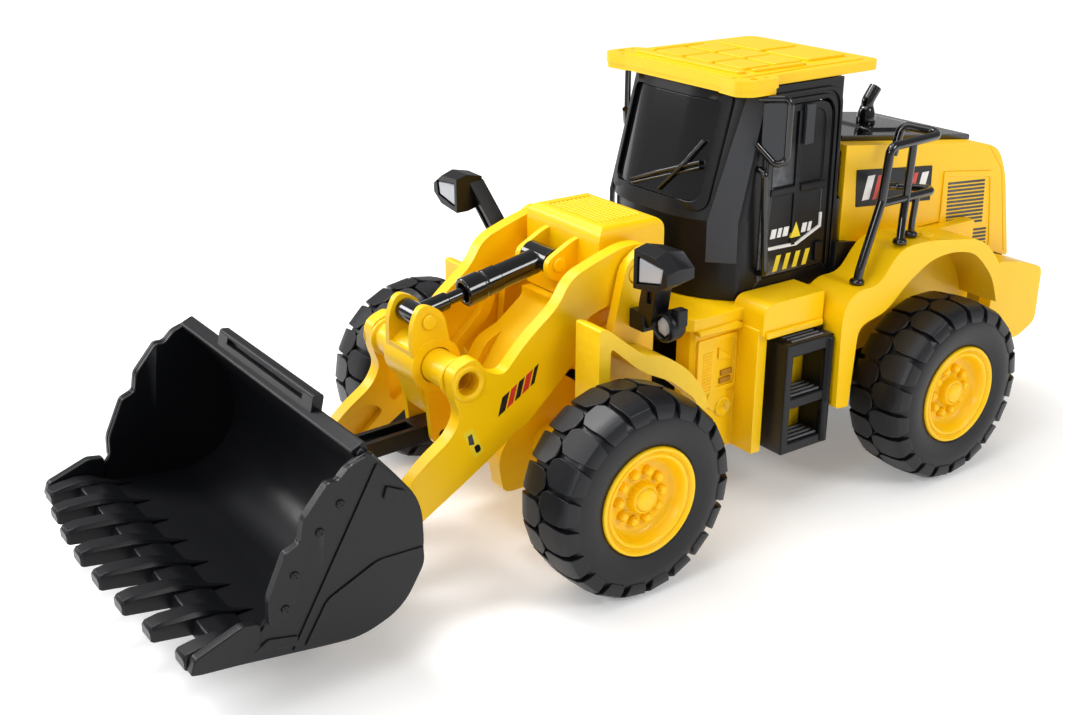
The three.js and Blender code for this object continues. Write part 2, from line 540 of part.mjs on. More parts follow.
// Canopy plate: a wide visor over the front, a narrower rear, raised middle panels and a hollow belly.
function roof() {
  const base = CAB.top + GAP;
  const plan = [[34.6, 30.6, 2], [31.4, 26.6, 2], [22, 27.6, 2]];
  const slab = extrude('z', base, base + 3, [
    ...plan.map(([x, y, r]) => [-x, y, r]), ...plan.reverse(), [34.4, 41, 1], [30.6, 43.4, 1], [30, 88.4, 3],
    [27, 90.7, 2], [-27, 90.7, 2], [-30, 88.4, 3], [-30.6, 43.4, 1], [-34.4, 41, 1],
  ]);
  const crown = extrude('z', base + 2.4, base + 4.1, [[-24, 33, 3], [24, 33, 3], [23, 86, 3], [-23, 86, 3]]);
  const belly = block(-26, 26, 44, 86, base - 1, base + 1.2);
  return cut(join(slab, crown), belly);
}

// Rounded mirror frame, drawn outwards from the cab's corner post and swung back by its group.
function mirror(side) {
  const frame = facing(side, -1.4, 1.4, [
    [116.6, 0.3], [111.6, 9, 2], [112.4, 11, 2], [130.4, 11, 2], [132.2, 9, 2], [131.4, 0.3],
  ]);
  const glass = facing(side, -2, -0.6, [[118, 2.2], [114.4, 8.8], [129.6, 8.8], [129.4, 2.2]]);
  return cut(frame, glass);
}

function grabHandle(side) {
  const x = side * (CAB.half + 3);
  const wallX = side * (CAB.half + 0.6);
  return tube([[wallX, 37.8, 108.8], [x, 37.8, 107.4], [x, 38.2, 104], [x, 40, 80], [x, 40.2, 77], [wallX, 40.4, 75.6]],
    1.1, 12, 7);
}

// Parked wiper, clear of the glass: a blade, and the arm that crosses it.
function wiper() {
  const blade = tube([[-12, 20, 99.5], [0, 20.6, 103.5], [12, 22.2, 107.5], [18.4, 24.8, 109.6]], 0.8, 5, 6);
  const arm = tube([[3, 19.9, 99.4], [12, 22.3, 107.9], [18.2, 26.4, 115.4]], 0.8, 4, 6);
  return join(blade, arm);
}

const crownAt = (y) => HOOD.crown + HOOD.slope * (y - HOOD.front);

function engineHood() {
  const { half, front } = HOOD;
  const skin = [
    [front, 77.4], [front, crownAt(front)], [147, crownAt(147), 4], [155.6, 99.6, 5], [161, 90, 6], [168.4, 57.4, 2],
    [155.2, 62.2], [147, 77.4],
  ];
  const inside = [
    [front - 3, 70], [front - 3, crownAt(front) - 2], [146, crownAt(146) - 2.4, 3], [153.4, 97.6, 4], [158.8, 89, 5], [162, 76], [150, 70],
  ];
  const shoulders = extrude('y', front - 1, 171, [[50, -half], [crownAt(front) + 1, -half], [crownAt(front) + 1, half], [50, half]]);
  const shell = cut(extrude('x', -half, half, skin, 4), extrude('x', -half + 2.2, half - 2.2, inside, 4));
  const openFront = block(-half + 4, half - 4, front - 2, front + 4, 80, crownAt(front) - 6);
  const tray = extrude('x', -23.4, 23.4, [
    [82, crownAt(82) - 0.6], [82, 118], [150, 118], [150, crownAt(150) - 0.6],
  ]);
  const vents = SIDES.flatMap(([, side]) => [0, 1, 2, 3, 4, 5].map((row) => {
    const z = 70 + 2.6 * row + 6;
    return block(...span(side, half - 0.9, half + 2), 133, 152.5 - 0.6 * row, z, z + 1.3);
  }));
  return cut(shell.intersect(shoulders), openFront, tray, ...vents);
}

// Gloss black cover on top of the engine hood, with a hole for the exhaust.
function hoodCover() {
  const plate = extrude('x', -23, 23, [
    [82.4, crownAt(82.4) - 0.2], [82.4, crownAt(82.4) + 1.8, 1], [148, crownAt(148) + 1.8, 1], [148, crownAt(148) - 0.2],
  ]);
  const dome = extrude('x', -14, 14, [
    [104, crownAt(104) + 1], [107, crownAt(107) + 2.6, 2], [138, crownAt(138) + 2.6, 2], [142, crownAt(142) + 1],
  ]);
  return cut(join(plate, dome), cylinderZ(EXHAUST.x, EXHAUST.y, 90, 120, EXHAUST.radius + GAP, 14));
}

function exhaust() {
  const { x, y, radius, pipe } = EXHAUST;
  const low = crownAt(y) + 0.1;
  const stub = cylinderZ(x, y, low, low + 6.4, radius, 14);
  const bend = tube([[x, y, low + 5], [x, y, low + 9], [x, y + 1, low + 11.4], [x, y + 4.5, 122.4]], pipe, 6, 8);
  return join(stub, bend);
}

const tailLamp = (side) => block(...span(side, 33, 42), REAR_END - 1.3, REAR_END, 42, 54);

add('rear_body', rearBody(), YELLOW);
add('rear_chassis', rearChassis(), BLACK);
add('counterweight', counterweight(), YELLOW);
add('cab_shell', cabShell(), BLACK);
add('windshield', windshield(), GLOSS_BLACK);
add('wiper', wiper(), BLACK);
add('roof', roof(), YELLOW);
add('engine_hood', engineHood(), YELLOW);
add('hood_cover', hoodCover(), GLOSS_BLACK);
add('exhaust', exhaust(), BLACK);
for (const [label, side] of SIDES) {
  add(`rear_fender_${label}`, rearFender(side), YELLOW);
  add(`ladder_${label}`, ladder(side), BLACK);
  add(`handrail_${label}`, handrail(side), GLOSS_BLACK);
  add(`door_${label}`, door(side), BLACK);
  const mirrorPost = new THREE.Group();
  mirrorPost.position.set(side * (CAB.half + GAP), 35.4, 0);
  mirrorPost.rotation.z = side * 0.75;
  loader.add(mirrorPost);
  add(`mirror_${label}`, mirror(side), BLACK, mirrorPost);
  add(`grab_handle_${label}`, grabHandle(side), BLACK);
  add(`tail_lamp_${label}`, tailLamp(side), RED_LENS);
}

export default loader;
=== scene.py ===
"""Looks of a toy wheel loader: moulded plastic, soft tyres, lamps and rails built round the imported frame.

Sizes inside the classes are millimetres; a mesh becomes metres when it is made. +X is the driver's left,
the bucket faces -Y and +Z is up. Every piece rides on one body of the frame.
"""
import sys

import json
import logging
import math
from dataclasses import dataclass
from enum import Enum
from typing import Sequence

import bmesh
import bpy
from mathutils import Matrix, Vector

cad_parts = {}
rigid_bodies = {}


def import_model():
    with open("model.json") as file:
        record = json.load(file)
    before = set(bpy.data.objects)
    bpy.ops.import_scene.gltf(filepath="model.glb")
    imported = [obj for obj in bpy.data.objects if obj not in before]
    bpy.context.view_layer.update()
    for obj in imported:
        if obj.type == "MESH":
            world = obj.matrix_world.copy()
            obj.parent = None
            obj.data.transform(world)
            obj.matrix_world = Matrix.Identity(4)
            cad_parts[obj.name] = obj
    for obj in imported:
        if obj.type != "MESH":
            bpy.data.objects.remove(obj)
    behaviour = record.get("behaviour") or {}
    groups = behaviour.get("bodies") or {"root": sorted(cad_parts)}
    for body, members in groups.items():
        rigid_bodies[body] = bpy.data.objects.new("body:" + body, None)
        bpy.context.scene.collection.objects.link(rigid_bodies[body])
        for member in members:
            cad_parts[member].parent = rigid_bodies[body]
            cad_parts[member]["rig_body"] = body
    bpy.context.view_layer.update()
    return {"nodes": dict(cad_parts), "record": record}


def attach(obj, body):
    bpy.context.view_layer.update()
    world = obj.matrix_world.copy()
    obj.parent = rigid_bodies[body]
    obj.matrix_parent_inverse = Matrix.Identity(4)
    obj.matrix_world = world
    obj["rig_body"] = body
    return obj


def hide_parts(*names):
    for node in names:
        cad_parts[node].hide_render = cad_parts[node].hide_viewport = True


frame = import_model()

MM = 0.001
LOG = logging.getLogger("loader")
SIDES = (("left", 1), ("right", -1))

Point = tuple[float, ...]
Corners = Sequence[Sequence[float]]


class Slot(Enum):
    """Material slots of the record."""

    YELLOW = "yellow_plastic"
    BLACK = "black_plastic"
    GLOSS = "gloss_black_plastic"
    RUBBER = "tyre_rubber"
    STEEL = "steel"
    LENS = "clear_lens"
    RED = "red_lens"


class Axis(Enum):
    """The axis that an outline is extruded along, with the directions of its two drawing axes."""

    X = ((0, 1, 0), (0, 0, 1), (1, 0, 0))
    Y = ((0, 0, 1), (1, 0, 0), (0, 1, 0))
    Z = ((1, 0, 0), (0, 1, 0), (0, 0, 1))

    def place(self, a: float, b: float, depth: float) -> Vector:
        """Give the place of a drawing point at a depth, in metres.

        Args:
            a: first drawing coordinate, in millimetres.
            b: second drawing coordinate.
            depth: place along the axis.

        Returns:
            The point in metres.
        """
        first, second, along = (Vector(direction) for direction in self.value)
        return (first * a + second * b + along * depth) * MM


# ---------------------------------------------------------------- node groups for finishes
def new_group(name: str, inputs: Sequence[tuple[str, float]], outputs: Sequence[str]) -> bpy.types.NodeTree:
    """Start a shader node group with float sockets.

    Args:
        name: name of the group.
        inputs: socket names with their default values.
        outputs: names of the float outputs.

    Returns:
        The group, holding only its Group Input and Group Output nodes.
    """
    tree = bpy.data.node_groups.new(name, "ShaderNodeTree")
    for label, value in inputs:
        socket = tree.interface.new_socket(name=label, in_out="INPUT", socket_type="NodeSocketFloat")
        socket.default_value = value
    for label in outputs:
        tree.interface.new_socket(name=label, in_out="OUTPUT", socket_type="NodeSocketFloat")
    tree.nodes.new("NodeGroupInput").name = "In"
    tree.nodes.new("NodeGroupOutput").name = "Out"
    return tree


def maths(tree: bpy.types.NodeTree, operation: str, *values: object) -> bpy.types.NodeSocket:
    """Add a Math node whose inputs are sockets or numbers.

    Args:
        tree: the tree to add to.
        operation: a Math node operation.
        values: one entry for each input.

    Returns:
        The node's output socket.
    """
    node = tree.nodes.new("ShaderNodeMath")
    node.operation = operation
    for socket, value in zip(node.inputs, values):
        if isinstance(value, bpy.types.NodeSocket):
            tree.links.new(value, socket)
        else:
            socket.default_value = value
    return node.outputs[0]


def noise(tree: bpy.types.NodeTree, scale: object, detail: float) -> bpy.types.NodeSocket:
    """Add a Noise Texture on Object coordinates.

    Args:
        tree: the tree to add to.
        scale: a socket or a number, in features per metre.
        detail: octaves of detail.

    Returns:
        The noise value, from 0 to 1.
    """
    place = tree.nodes.new("ShaderNodeTexCoord")
    texture = tree.nodes.new("ShaderNodeTexNoise")
    texture.inputs["Detail"].default_value = detail
    tree.links.new(place.outputs["Object"], texture.inputs["Vector"])
    if isinstance(scale, bpy.types.NodeSocket):
        tree.links.new(scale, texture.inputs["Scale"])
    else:
        texture.inputs["Scale"].default_value = scale
    return texture.outputs[0]


def moulding_grain_group() -> bpy.types.NodeTree:
    """Build the fine spark-eroded grain that a steel mould leaves.

    Returns:
        A group that puts out a Height and a Patch value.
    """
    tree = new_group("moulding_grain", [("Scale", 2200.0), ("Depth", 1.0)], ["Height", "Patch"])
    ins, outs = tree.nodes["In"], tree.nodes["Out"]
    fine = noise(tree, ins.outputs["Scale"], 2.0)
    broad = noise(tree, 34.0, 3.0)
    tree.links.new(maths(tree, "MULTIPLY", fine, ins.outputs["Depth"]), outs.inputs["Height"])
    tree.links.new(broad, outs.inputs["Patch"])
    return tree


def edge_wear_and_highlight_group() -> bpy.types.NodeTree:
    """Build the mask of outer edges, for wear that hands have polished and for painted edge highlights.

    Returns:
        A group that puts out a Mask from 0 to 1.
    """
    tree = new_group("edge_wear_and_highlight", [("Start", 0.6), ("Amount", 0.5)], ["Mask"])
    ins, outs = tree.nodes["In"], tree.nodes["Out"]
    shape = tree.nodes.new("ShaderNodeNewGeometry")
    above = maths(tree, "SUBTRACT", shape.outputs["Pointiness"], ins.outputs["Start"])
    sharp = maths(tree, "MULTIPLY", above, 16.0)
    broken = maths(tree, "MULTIPLY", sharp, noise(tree, 420.0, 3.0))
    scaled = maths(tree, "MULTIPLY", broken, ins.outputs["Amount"])
    clean = maths(tree, "MINIMUM", maths(tree, "MAXIMUM", scaled, 0.0), 1.0)
    tree.links.new(clean, outs.inputs["Mask"])
    return tree


def dust_group() -> bpy.types.NodeTree:
    """Build the thin dust that settles on faces that look up.

    Returns:
        A group that puts out a Mask from 0 to 1.
    """
    tree = new_group("dust", [("Amount", 0.1)], ["Mask"])
    ins, outs = tree.nodes["In"], tree.nodes["Out"]
    shape = tree.nodes.new("ShaderNodeNewGeometry")
    split = tree.nodes.new("ShaderNodeSeparateXYZ")
    tree.links.new(shape.outputs["Normal"], split.inputs[0])
    up = maths(tree, "MAXIMUM", split.outputs["Z"], 0.0)
    blotch = maths(tree, "MULTIPLY", up, noise(tree, 90.0, 4.0))
    tree.links.new(maths(tree, "MULTIPLY", blotch, ins.outputs["Amount"]), outs.inputs["Mask"])
    return tree


GROUPS = {
    "grain": moulding_grain_group(),
    "wear_and_highlight": edge_wear_and_highlight_group(),
    "dust": dust_group(),
}


@dataclass(frozen=True)
class Finish:
    """A moulded or drawn surface: its colours, its shine and how much grain, dust and edge wear with painted edge
    highlights it shows.
    """

    name: str
    slot: Slot
    color: Point
    deep: Point
    worn_and_highlight: Point
    roughness: float
    metallic: float = 0.0
    coat: float = 0.0
    grain: float = 0.2
    grain_scale: float = 2200.0
    wear_and_highlight: float = 0.4
    dust: float = 0.06
    uneven: float = 0.12
    specular: float = 0.5
    glow: float = 0.0

    def material(self) -> bpy.types.Material:
        """Give this finish's material, built the first time it is asked for.

        Returns:
            The material.
        """
        return bpy.data.materials.get(self.name) or self._build()

    def _build(self) -> bpy.types.Material:
        """Build the node tree.

        Returns:
            The new material.
        """
        made = bpy.data.materials.new(self.name)
        made.use_nodes = True
        tree = made.node_tree
        shader = tree.nodes["Principled BSDF"]
        shader.inputs["Coat Weight"].default_value = self.coat
        shader.inputs["Coat Roughness"].default_value = 0.08
        shader.inputs["Metallic"].default_value = self.metallic
        shader.inputs["Specular IOR Level"].default_value = self.specular
        shader.inputs["Emission Color"].default_value = (1.0, 1.0, 1.0, 1.0)
        shader.inputs["Emission Strength"].default_value = self.glow
        grain = self._group(tree, "grain", Scale=self.grain_scale, Depth=1.0)
        wear_and_highlight = self._group(tree, "wear_and_highlight", Amount=self.wear_and_highlight)
        dust = self._group(tree, "dust", Amount=self.dust)
        base = self._mixed(tree, maths(tree, "MULTIPLY", grain.outputs["Patch"], 0.7), self.color, self.deep)
        # outer edges take the third colour: partly wear, partly a painted highlight along the edges
        rubbed_and_highlit = self._mixed(tree, wear_and_highlight.outputs["Mask"], base, self.worn_and_highlight)
        dusted = self._mixed(tree, dust.outputs["Mask"], rubbed_and_highlit, (0.55, 0.52, 0.47))
        tree.links.new(dusted, shader.inputs["Base Color"])
        patchy = maths(tree, "MULTIPLY_ADD", grain.outputs["Patch"], self.uneven, self.roughness - self.uneven / 2)
        settled_dust = maths(tree, "ADD", patchy, maths(tree, "MULTIPLY", dust.outputs["Mask"], 0.5))
        tree.links.new(settled_dust, shader.inputs["Roughness"])
        bump = tree.nodes.new("ShaderNodeBump")
        bump.inputs["Strength"].default_value = self.grain
        bump.inputs["Distance"].default_value = 0.0002
        tree.links.new(grain.outputs["Height"], bump.inputs["Height"])
        tree.links.new(bump.outputs[0], shader.inputs["Normal"])
        return made

    @staticmethod
    def _group(tree: bpy.types.NodeTree, key: str, **values: float) -> bpy.types.Node:
        """Place a shared group in a material, with this material's values.

        Args:
            tree: the tree to add to.
            key: which of the shared groups.
            values: values by input name.

        Returns:
            The node.
        """
        node = tree.nodes.new("ShaderNodeGroup")
        node.node_tree = GROUPS[key]
        for label, value in values.items():
            node.inputs[label].default_value = value
        return node

    @staticmethod
    def _mixed(tree: bpy.types.NodeTree, share: bpy.types.NodeSocket, low: object,
               high: object) -> bpy.types.NodeSocket:
        """Mix two colours, each a socket or three numbers, by a share from 0 to 1.

        Args:
            tree: the tree to add to.
            share: share of the second colour.
            low: the first colour.
            high: the second colour.

        Returns:
            The mixed colour.
        """
        node = tree.nodes.new("ShaderNodeMix")
        node.data_type = "RGBA"
        tree.links.new(share, node.inputs["Factor"])
        for socket, value in ((node.inputs[6], low), (node.inputs[7], high)):
            if isinstance(value, bpy.types.NodeSocket):
                tree.links.new(value, socket)
            else:
                socket.default_value = (*value, 1.0)
        return node.outputs[2]


# each finish's third colour is its edge colour, wear and painted edge highlight together; on the blacks and the tyre it
# is a light grey that paints the bright edge highlights
YELLOW = Finish("yellow_moulded", Slot.YELLOW, (0.95, 0.585, 0.0), (0.92, 0.52, 0.0), (1.0, 0.66, 0.02), 0.36,
                coat=0.06, grain=0.08, wear_and_highlight=0.2, dust=0.0, uneven=0.06, specular=0.36)
SATIN_BLACK = Finish("satin_black_moulded", Slot.BLACK, (0.0045, 0.0048, 0.0062), (0.003, 0.0032, 0.0045),
                     (0.15, 0.155, 0.17), 0.34, grain=0.10, wear_and_highlight=0.5, dust=0.0, uneven=0.05, specular=0.3)
GLOSS_BLACK = Finish("gloss_black_moulded", Slot.GLOSS, (0.004, 0.004, 0.005), (0.003, 0.003, 0.004),
                     (0.05, 0.05, 0.055), 0.12, coat=0.35, grain=0.02, wear_and_highlight=0.25, dust=0.0, uneven=0.03)
CHARCOAL = Finish("charcoal_panel", Slot.BLACK, (0.040, 0.042, 0.048), (0.033, 0.035, 0.041), (0.12, 0.12, 0.13), 0.5,
                  grain=0.08, wear_and_highlight=0.3, dust=0.0, specular=0.36)
RUBBER = Finish("soft_tyre", Slot.RUBBER, (0.0055, 0.006, 0.008), (0.004, 0.0044, 0.006), (0.15, 0.155, 0.17), 0.38,
                grain=0.18, grain_scale=1500.0, wear_and_highlight=0.25, dust=0.0, uneven=0.05, specular=0.34)
STEEL = Finish("drawn_steel", Slot.STEEL, (0.55, 0.55, 0.57), (0.45, 0.45, 0.47), (0.75, 0.75, 0.76), 0.3,
               metallic=1.0, grain=0.1, wear_and_highlight=0.3, dust=0.02)
LENS = Finish("silvered_lens", Slot.LENS, (0.46, 0.48, 0.52), (0.20, 0.21, 0.24), (0.9, 0.9, 0.92), 0.2,
              metallic=0.1, coat=0.6, grain=0.3, grain_scale=500.0, wear_and_highlight=0.1, dust=0.0, uneven=0.05)
RED_LENS = Finish("red_lens", Slot.RED, (0.45, 0.01, 0.012), (0.30, 0.006, 0.008), (0.7, 0.05, 0.05), 0.16,
                  coat=0.9, grain=0.2, grain_scale=900.0, wear_and_highlight=0.1, dust=0.0, uneven=0.05)
WHITE_PRINT = Finish("white_print", Slot.LENS, (0.82, 0.82, 0.82), (0.70, 0.70, 0.70), (0.9, 0.9, 0.9), 0.4,
                     grain=0.05, wear_and_highlight=0.2, dust=0.03)
YELLOW_PRINT = Finish("yellow_print", Slot.YELLOW, (0.86, 0.68, 0.03), (0.80, 0.60, 0.02), (0.9, 0.75, 0.1), 0.4,
                      grain=0.05, wear_and_highlight=0.2, dust=0.03)
RED_PRINT = Finish("red_print", Slot.RED, (0.62, 0.03, 0.02), (0.55, 0.02, 0.015), (0.7, 0.1, 0.08), 0.4,
                   grain=0.05, wear_and_highlight=0.2, dust=0.03)
# painted shade: a dark orange of the yellow plastic, put on the body panel's two slots
YELLOW_PAINTED_SHADE = Finish("yellow_painted_shade", Slot.YELLOW, (0.42, 0.19, 0.0), (0.36, 0.16, 0.0), (0.5, 0.25, 0.01), 0.6,
                      grain=0.1, wear_and_highlight=0.1, dust=0.0)
PALE_PAPER = Finish("pale_paper", Slot.LENS, (0.9, 0.9, 0.9), (0.88, 0.88, 0.88), (0.9, 0.9, 0.9), 0.6,
                    grain=0.05, grain_scale=600.0, wear_and_highlight=0.0, dust=0.0, specular=0.1, glow=0.22)


# ---------------------------------------------------------------- mesh helpers
def linked(name: str, mesh: bpy.types.Mesh) -> bpy.types.Object:
    """Put a mesh into the scene as an object at the origin.

    Args:
        name: the object's name.
        mesh: its mesh.

    Returns:
        The object.
    """
    made = bpy.data.objects.new(name, mesh)
    bpy.context.scene.collection.objects.link(made)
    return made


def mesh_from(name: str, points: Sequence[Vector], faces: Sequence[Sequence[int]]) -> bpy.types.Mesh:
    """Make a mesh from points and faces, with doubles merged and faces turned outwards.

    Args:
        name: the mesh's name.
        points: places in metres.
        faces: point numbers of each face.

    Returns:
        The mesh.
    """
    mesh = bpy.data.meshes.new(name)
    mesh.from_pydata([tuple(p) for p in points], [], [tuple(f) for f in faces])
    work = bmesh.new()
    work.from_mesh(mesh)
    bmesh.ops.remove_doubles(work, verts=work.verts, dist=1e-6)
    bmesh.ops.recalc_face_normals(work, faces=work.faces)
    work.to_mesh(mesh)
    work.free()
    return mesh


def settle(piece: bpy.types.Object) -> bpy.types.Object:
    """Turn an object's modifiers into plain mesh.

    Args:
        piece: the object.

    Returns:
        The same object, with no modifier left.
    """
    shape = bpy.data.meshes.new_from_object(piece.evaluated_get(bpy.context.evaluated_depsgraph_get()))
    piece.modifiers.clear()
    piece.data = shape
    return piece


def rounded(corners: Corners, steps: int = 7) -> list[Point]:
    """Round the corners of a closed outline.

    Args:
        corners: [a, b] or [a, b, radius] for each corner, in millimetres.
        steps: segments of each rounded corner.

    Returns:
        The outline's points.
    """
    points: list[Point] = []
    count = len(corners)
    for index, corner in enumerate(corners):
        here = Vector(corner[:2])
        radius = corner[2] if len(corner) > 2 else 0.0
        back = Vector(corners[index - 1][:2]) - here
        ahead = Vector(corners[(index + 1) % count][:2]) - here
        reach = min(radius, back.length * 0.48, ahead.length * 0.48)
        if reach <= 0:
            points.append(tuple(here))
            continue
        start = here + back.normalized() * reach
        end = here + ahead.normalized() * reach
        for step in range(steps + 1):
            t = step / steps
            points.append(tuple(start * (1 - t) ** 2 + here * 2 * t * (1 - t) + end * t**2))
    return points


def slab(name: str, axis: Axis, low: float, high: float, corners: Corners, steps: int = 7) -> bpy.types.Object:
    """Extrude a rounded outline into a solid.

    Args:
        name: the object's name.
        axis: the axis to extrude along.
        low: where the solid starts, in millimetres.
        high: where it ends.
        corners: the outline's corners.
        steps: segments of each rounded corner.

    Returns:
        The object.
    """
    outline = rounded(corners, steps)
    count = len(outline)
    points = [axis.place(a, b, depth) for depth in (low, high) for a, b in outline]
    faces = [range(count), range(count, 2 * count)]
    faces += [(i, (i + 1) % count, (i + 1) % count + count, i + count) for i in range(count)]
    return linked(name, mesh_from(name, points, faces))


def mirrored(side: int, low: float, high: float) -> tuple[float, float]:
    """Give a stretch along x on one side, lowest end first."""
    return min(side * low, side * high), max(side * low, side * high)


def box(name: str, low: Point, high: Point) -> bpy.types.Object:
    """Make a block between two corners, in millimetres, to be cut with or softened."""
    corners = [(low[0], low[1]), (high[0], low[1]), (high[0], high[1]), (low[0], high[1])]
    return slab(name, Axis.Z, low[2], high[2], corners)


def lathe(name: str, start: Point, end: Point, profile: Sequence[Point], turns: int = 40) -> bpy.types.Object:
    """Turn a profile about the line from start to end.

    Args:
        name: the object's name.
        start: the line's first point, in millimetres.
        end: the line's last point; profile distances run towards it.
        profile: (distance, radius) pairs that begin and end on the line, or close on themselves.
        turns: segments round the line.

    Returns:
        The object.
    """
    origin = Vector(start)
    along = (Vector(end) - origin).normalized()
    across = along.orthogonal().normalized()
    third = along.cross(across)
    points, faces = [], []
    for turn in range(turns):
        angle = 2 * math.pi * turn / turns
        out = across * math.cos(angle) + third * math.sin(angle)
        points += [(origin + along * distance + out * radius) * MM for distance, radius in profile]
    count = len(profile)
    for turn in range(turns):
        here, there = turn * count, (turn + 1) % turns * count
        faces += [(here + i, here + i + 1, there + i + 1, there + i) for i in range(count - 1)]
    return linked(name, mesh_from(name, points, faces))


def combine(piece: bpy.types.Object, operation: str, *tools: bpy.types.Object) -> bpy.types.Object:
    """Cut or join a piece with other solids, which are used up.

    Args:
        piece: the solid to change.
        operation: DIFFERENCE, UNION or INTERSECT.
        tools: the other solids.

    Returns:
        The changed piece.
    """
    for tool in tools:
        modifier = piece.modifiers.new("combine", "BOOLEAN")
        modifier.operation = operation
        modifier.object = tool
        modifier.solver = "EXACT"
    settle(piece)
    for tool in tools:
        bpy.data.objects.remove(tool)
    return piece


def soften(piece: bpy.types.Object, width: float, segments: int = 2, angle: float = 32.0) -> bpy.types.Object:
    """Round a moulding's edges and shade its faces smoothly.

    Args:
        piece: the solid.
        width: radius of the rounding, in millimetres.
        segments: faces across each rounding.
        angle: edges sharper than this, in degrees, are rounded.

    Returns:
        The same object.
    """
    work = bmesh.new()
    work.from_mesh(piece.data)
    bmesh.ops.remove_doubles(work, verts=work.verts, dist=2e-5)
    bmesh.ops.dissolve_limit(work, angle_limit=math.radians(1.0), verts=work.verts, edges=work.edges)
    work.to_mesh(piece.data)
    work.free()
    bevel = piece.modifiers.new("rounding", "BEVEL")
    bevel.width = width * MM
    bevel.segments = segments
    bevel.limit_method = "ANGLE"
    bevel.angle_limit = math.radians(angle)
    bevel.use_clamp_overlap = True
    settle(piece)
    piece.data.shade_smooth()
    piece.data.set_sharp_from_angle(angle=math.radians(50))
    weighted = piece.modifiers.new("shading", "WEIGHTED_NORMAL")
    weighted.keep_sharp = True
    weighted.weight = 80
    return settle(piece)


def dress(piece: bpy.types.Object, finish: Finish, body: str, *nodes: str) -> bpy.types.Object:
    """Give a piece its finish and its body, and let it stand for CAD nodes.

    Args:
        piece: the finished mesh object.
        finish: the surface.
        body: the body it moves with.
        nodes: the CAD nodes it replaces.

    Returns:
        The same object.
    """
    if not piece.data.materials or piece.data.materials[0] != finish.material():
        piece.data.materials.clear()
        piece.data.materials.append(finish.material())
    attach(piece, body)
    if nodes:
        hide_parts(*nodes)
    LOG.info("%s: %d faces on %s, for %s", piece.name, len(piece.data.polygons), body, ", ".join(nodes) or "detail")
    return piece


def copied(node: str, name: str) -> bpy.types.Object:
    """Copy a CAD node's solid into a new object that may be reshaped."""
    return linked(name, frame["nodes"][node].data.copy())


# ---------------------------------------------------------------- geometry node trees
class Growth:
    """A Geometry Nodes tree with named inputs, run over a mesh and kept as plain mesh."""

    def __init__(self, name: str, inputs: Sequence[tuple[str, str]]) -> None:
        """Start the tree.

        Args:
            name: name of the tree.
            inputs: socket names with their kinds, such as ("Count", "Int").
        """
        self.tree = bpy.data.node_groups.new(name, "GeometryNodeTree")
        face = self.tree.interface
        face.new_socket(name="Geometry", in_out="INPUT", socket_type="NodeSocketGeometry")
        for label, kind in [*inputs, ("Material", "Material")]:
            face.new_socket(name=label, in_out="INPUT", socket_type="NodeSocket" + kind)
        face.new_socket(name="Geometry", in_out="OUTPUT", socket_type="NodeSocketGeometry")
        self.source = self.tree.nodes.new("NodeGroupInput")
        self.result = self.tree.nodes.new("NodeGroupOutput")

    def node(self, kind: str, **links: object) -> bpy.types.Node:
        """Add a node and set or link its inputs.

        Args:
            kind: the node's class name, without its GeometryNode prefix where it has one.
            links: input names, with _ for a space, to sockets or values.

        Returns:
            The node.
        """
        full = kind if kind.startswith(("Shader", "Function")) else "GeometryNode" + kind
        made = self.tree.nodes.new(full)
        for label, value in links.items():
            self.set(made, label.replace("_", " "), value)
        return made

    def set(self, node: bpy.types.Node, label: object, value: object) -> None:
        """Link a socket to an input, or set the input's value.

        Args:
            node: the node.
            label: name or number of the input.
            value: a socket or a value.
        """
        socket = node.inputs[label]
        if isinstance(value, bpy.types.NodeSocket):
            self.tree.links.new(value, socket)
        else:
            socket.default_value = value

    def close(self, geometry: bpy.types.NodeSocket) -> None:
        """End the tree with Realize Instances and Set Material.

        Args:
            geometry: what the tree has made.
        """
        real = self.node("RealizeInstances", Geometry=geometry)
        dressed = self.node("SetMaterial", Geometry=real.outputs[0], Material=self.source.outputs["Material"])
        self.tree.links.new(dressed.outputs[0], self.result.inputs[0])

    def run(self, piece: bpy.types.Object, finish: Finish, **values: object) -> bpy.types.Object:
        """Grow a piece from its own mesh.

        Args:
            piece: the object whose mesh is the seed.
            finish: its surface.
            values: the tree's inputs by name.

        Returns:
            The same object, now plain mesh.
        """
        modifier = piece.modifiers.new(self.tree.name, "NODES")
        modifier.node_group = self.tree
        values["Material"] = finish.material()
        for item in self.tree.interface.items_tree:
            if item.in_out == "INPUT" and item.name in values:
                modifier[item.identifier] = values[item.name]
        return settle(piece)


def ring_growth() -> Growth:
    """Repeat a seed round the x axis, merge its seams and move the ring to its centre.

    Returns:
        The tree.
    """
    grow = Growth("ring", [("Count", "Int"), ("Centre", "Vector")])
    source = grow.source.outputs
    points = grow.node("Points", Count=source["Count"])
    step = maths(grow.tree, "DIVIDE", 2 * math.pi, source["Count"])
    turn = maths(grow.tree, "MULTIPLY", grow.node("InputIndex").outputs[0], step)
    spin = grow.node("ShaderNodeCombineXYZ", X=turn)
    copies = grow.node("InstanceOnPoints", Points=points.outputs[0], Instance=source["Geometry"],
                       Rotation=spin.outputs[0])
    real = grow.node("RealizeInstances", Geometry=copies.outputs[0])
    merged = grow.node("MergeByDistance", Geometry=real.outputs[0], Distance=2e-6)
    placed = grow.node("Transform", Geometry=merged.outputs[0], Translation=source["Centre"])
    grow.close(placed.outputs[0])
    return grow


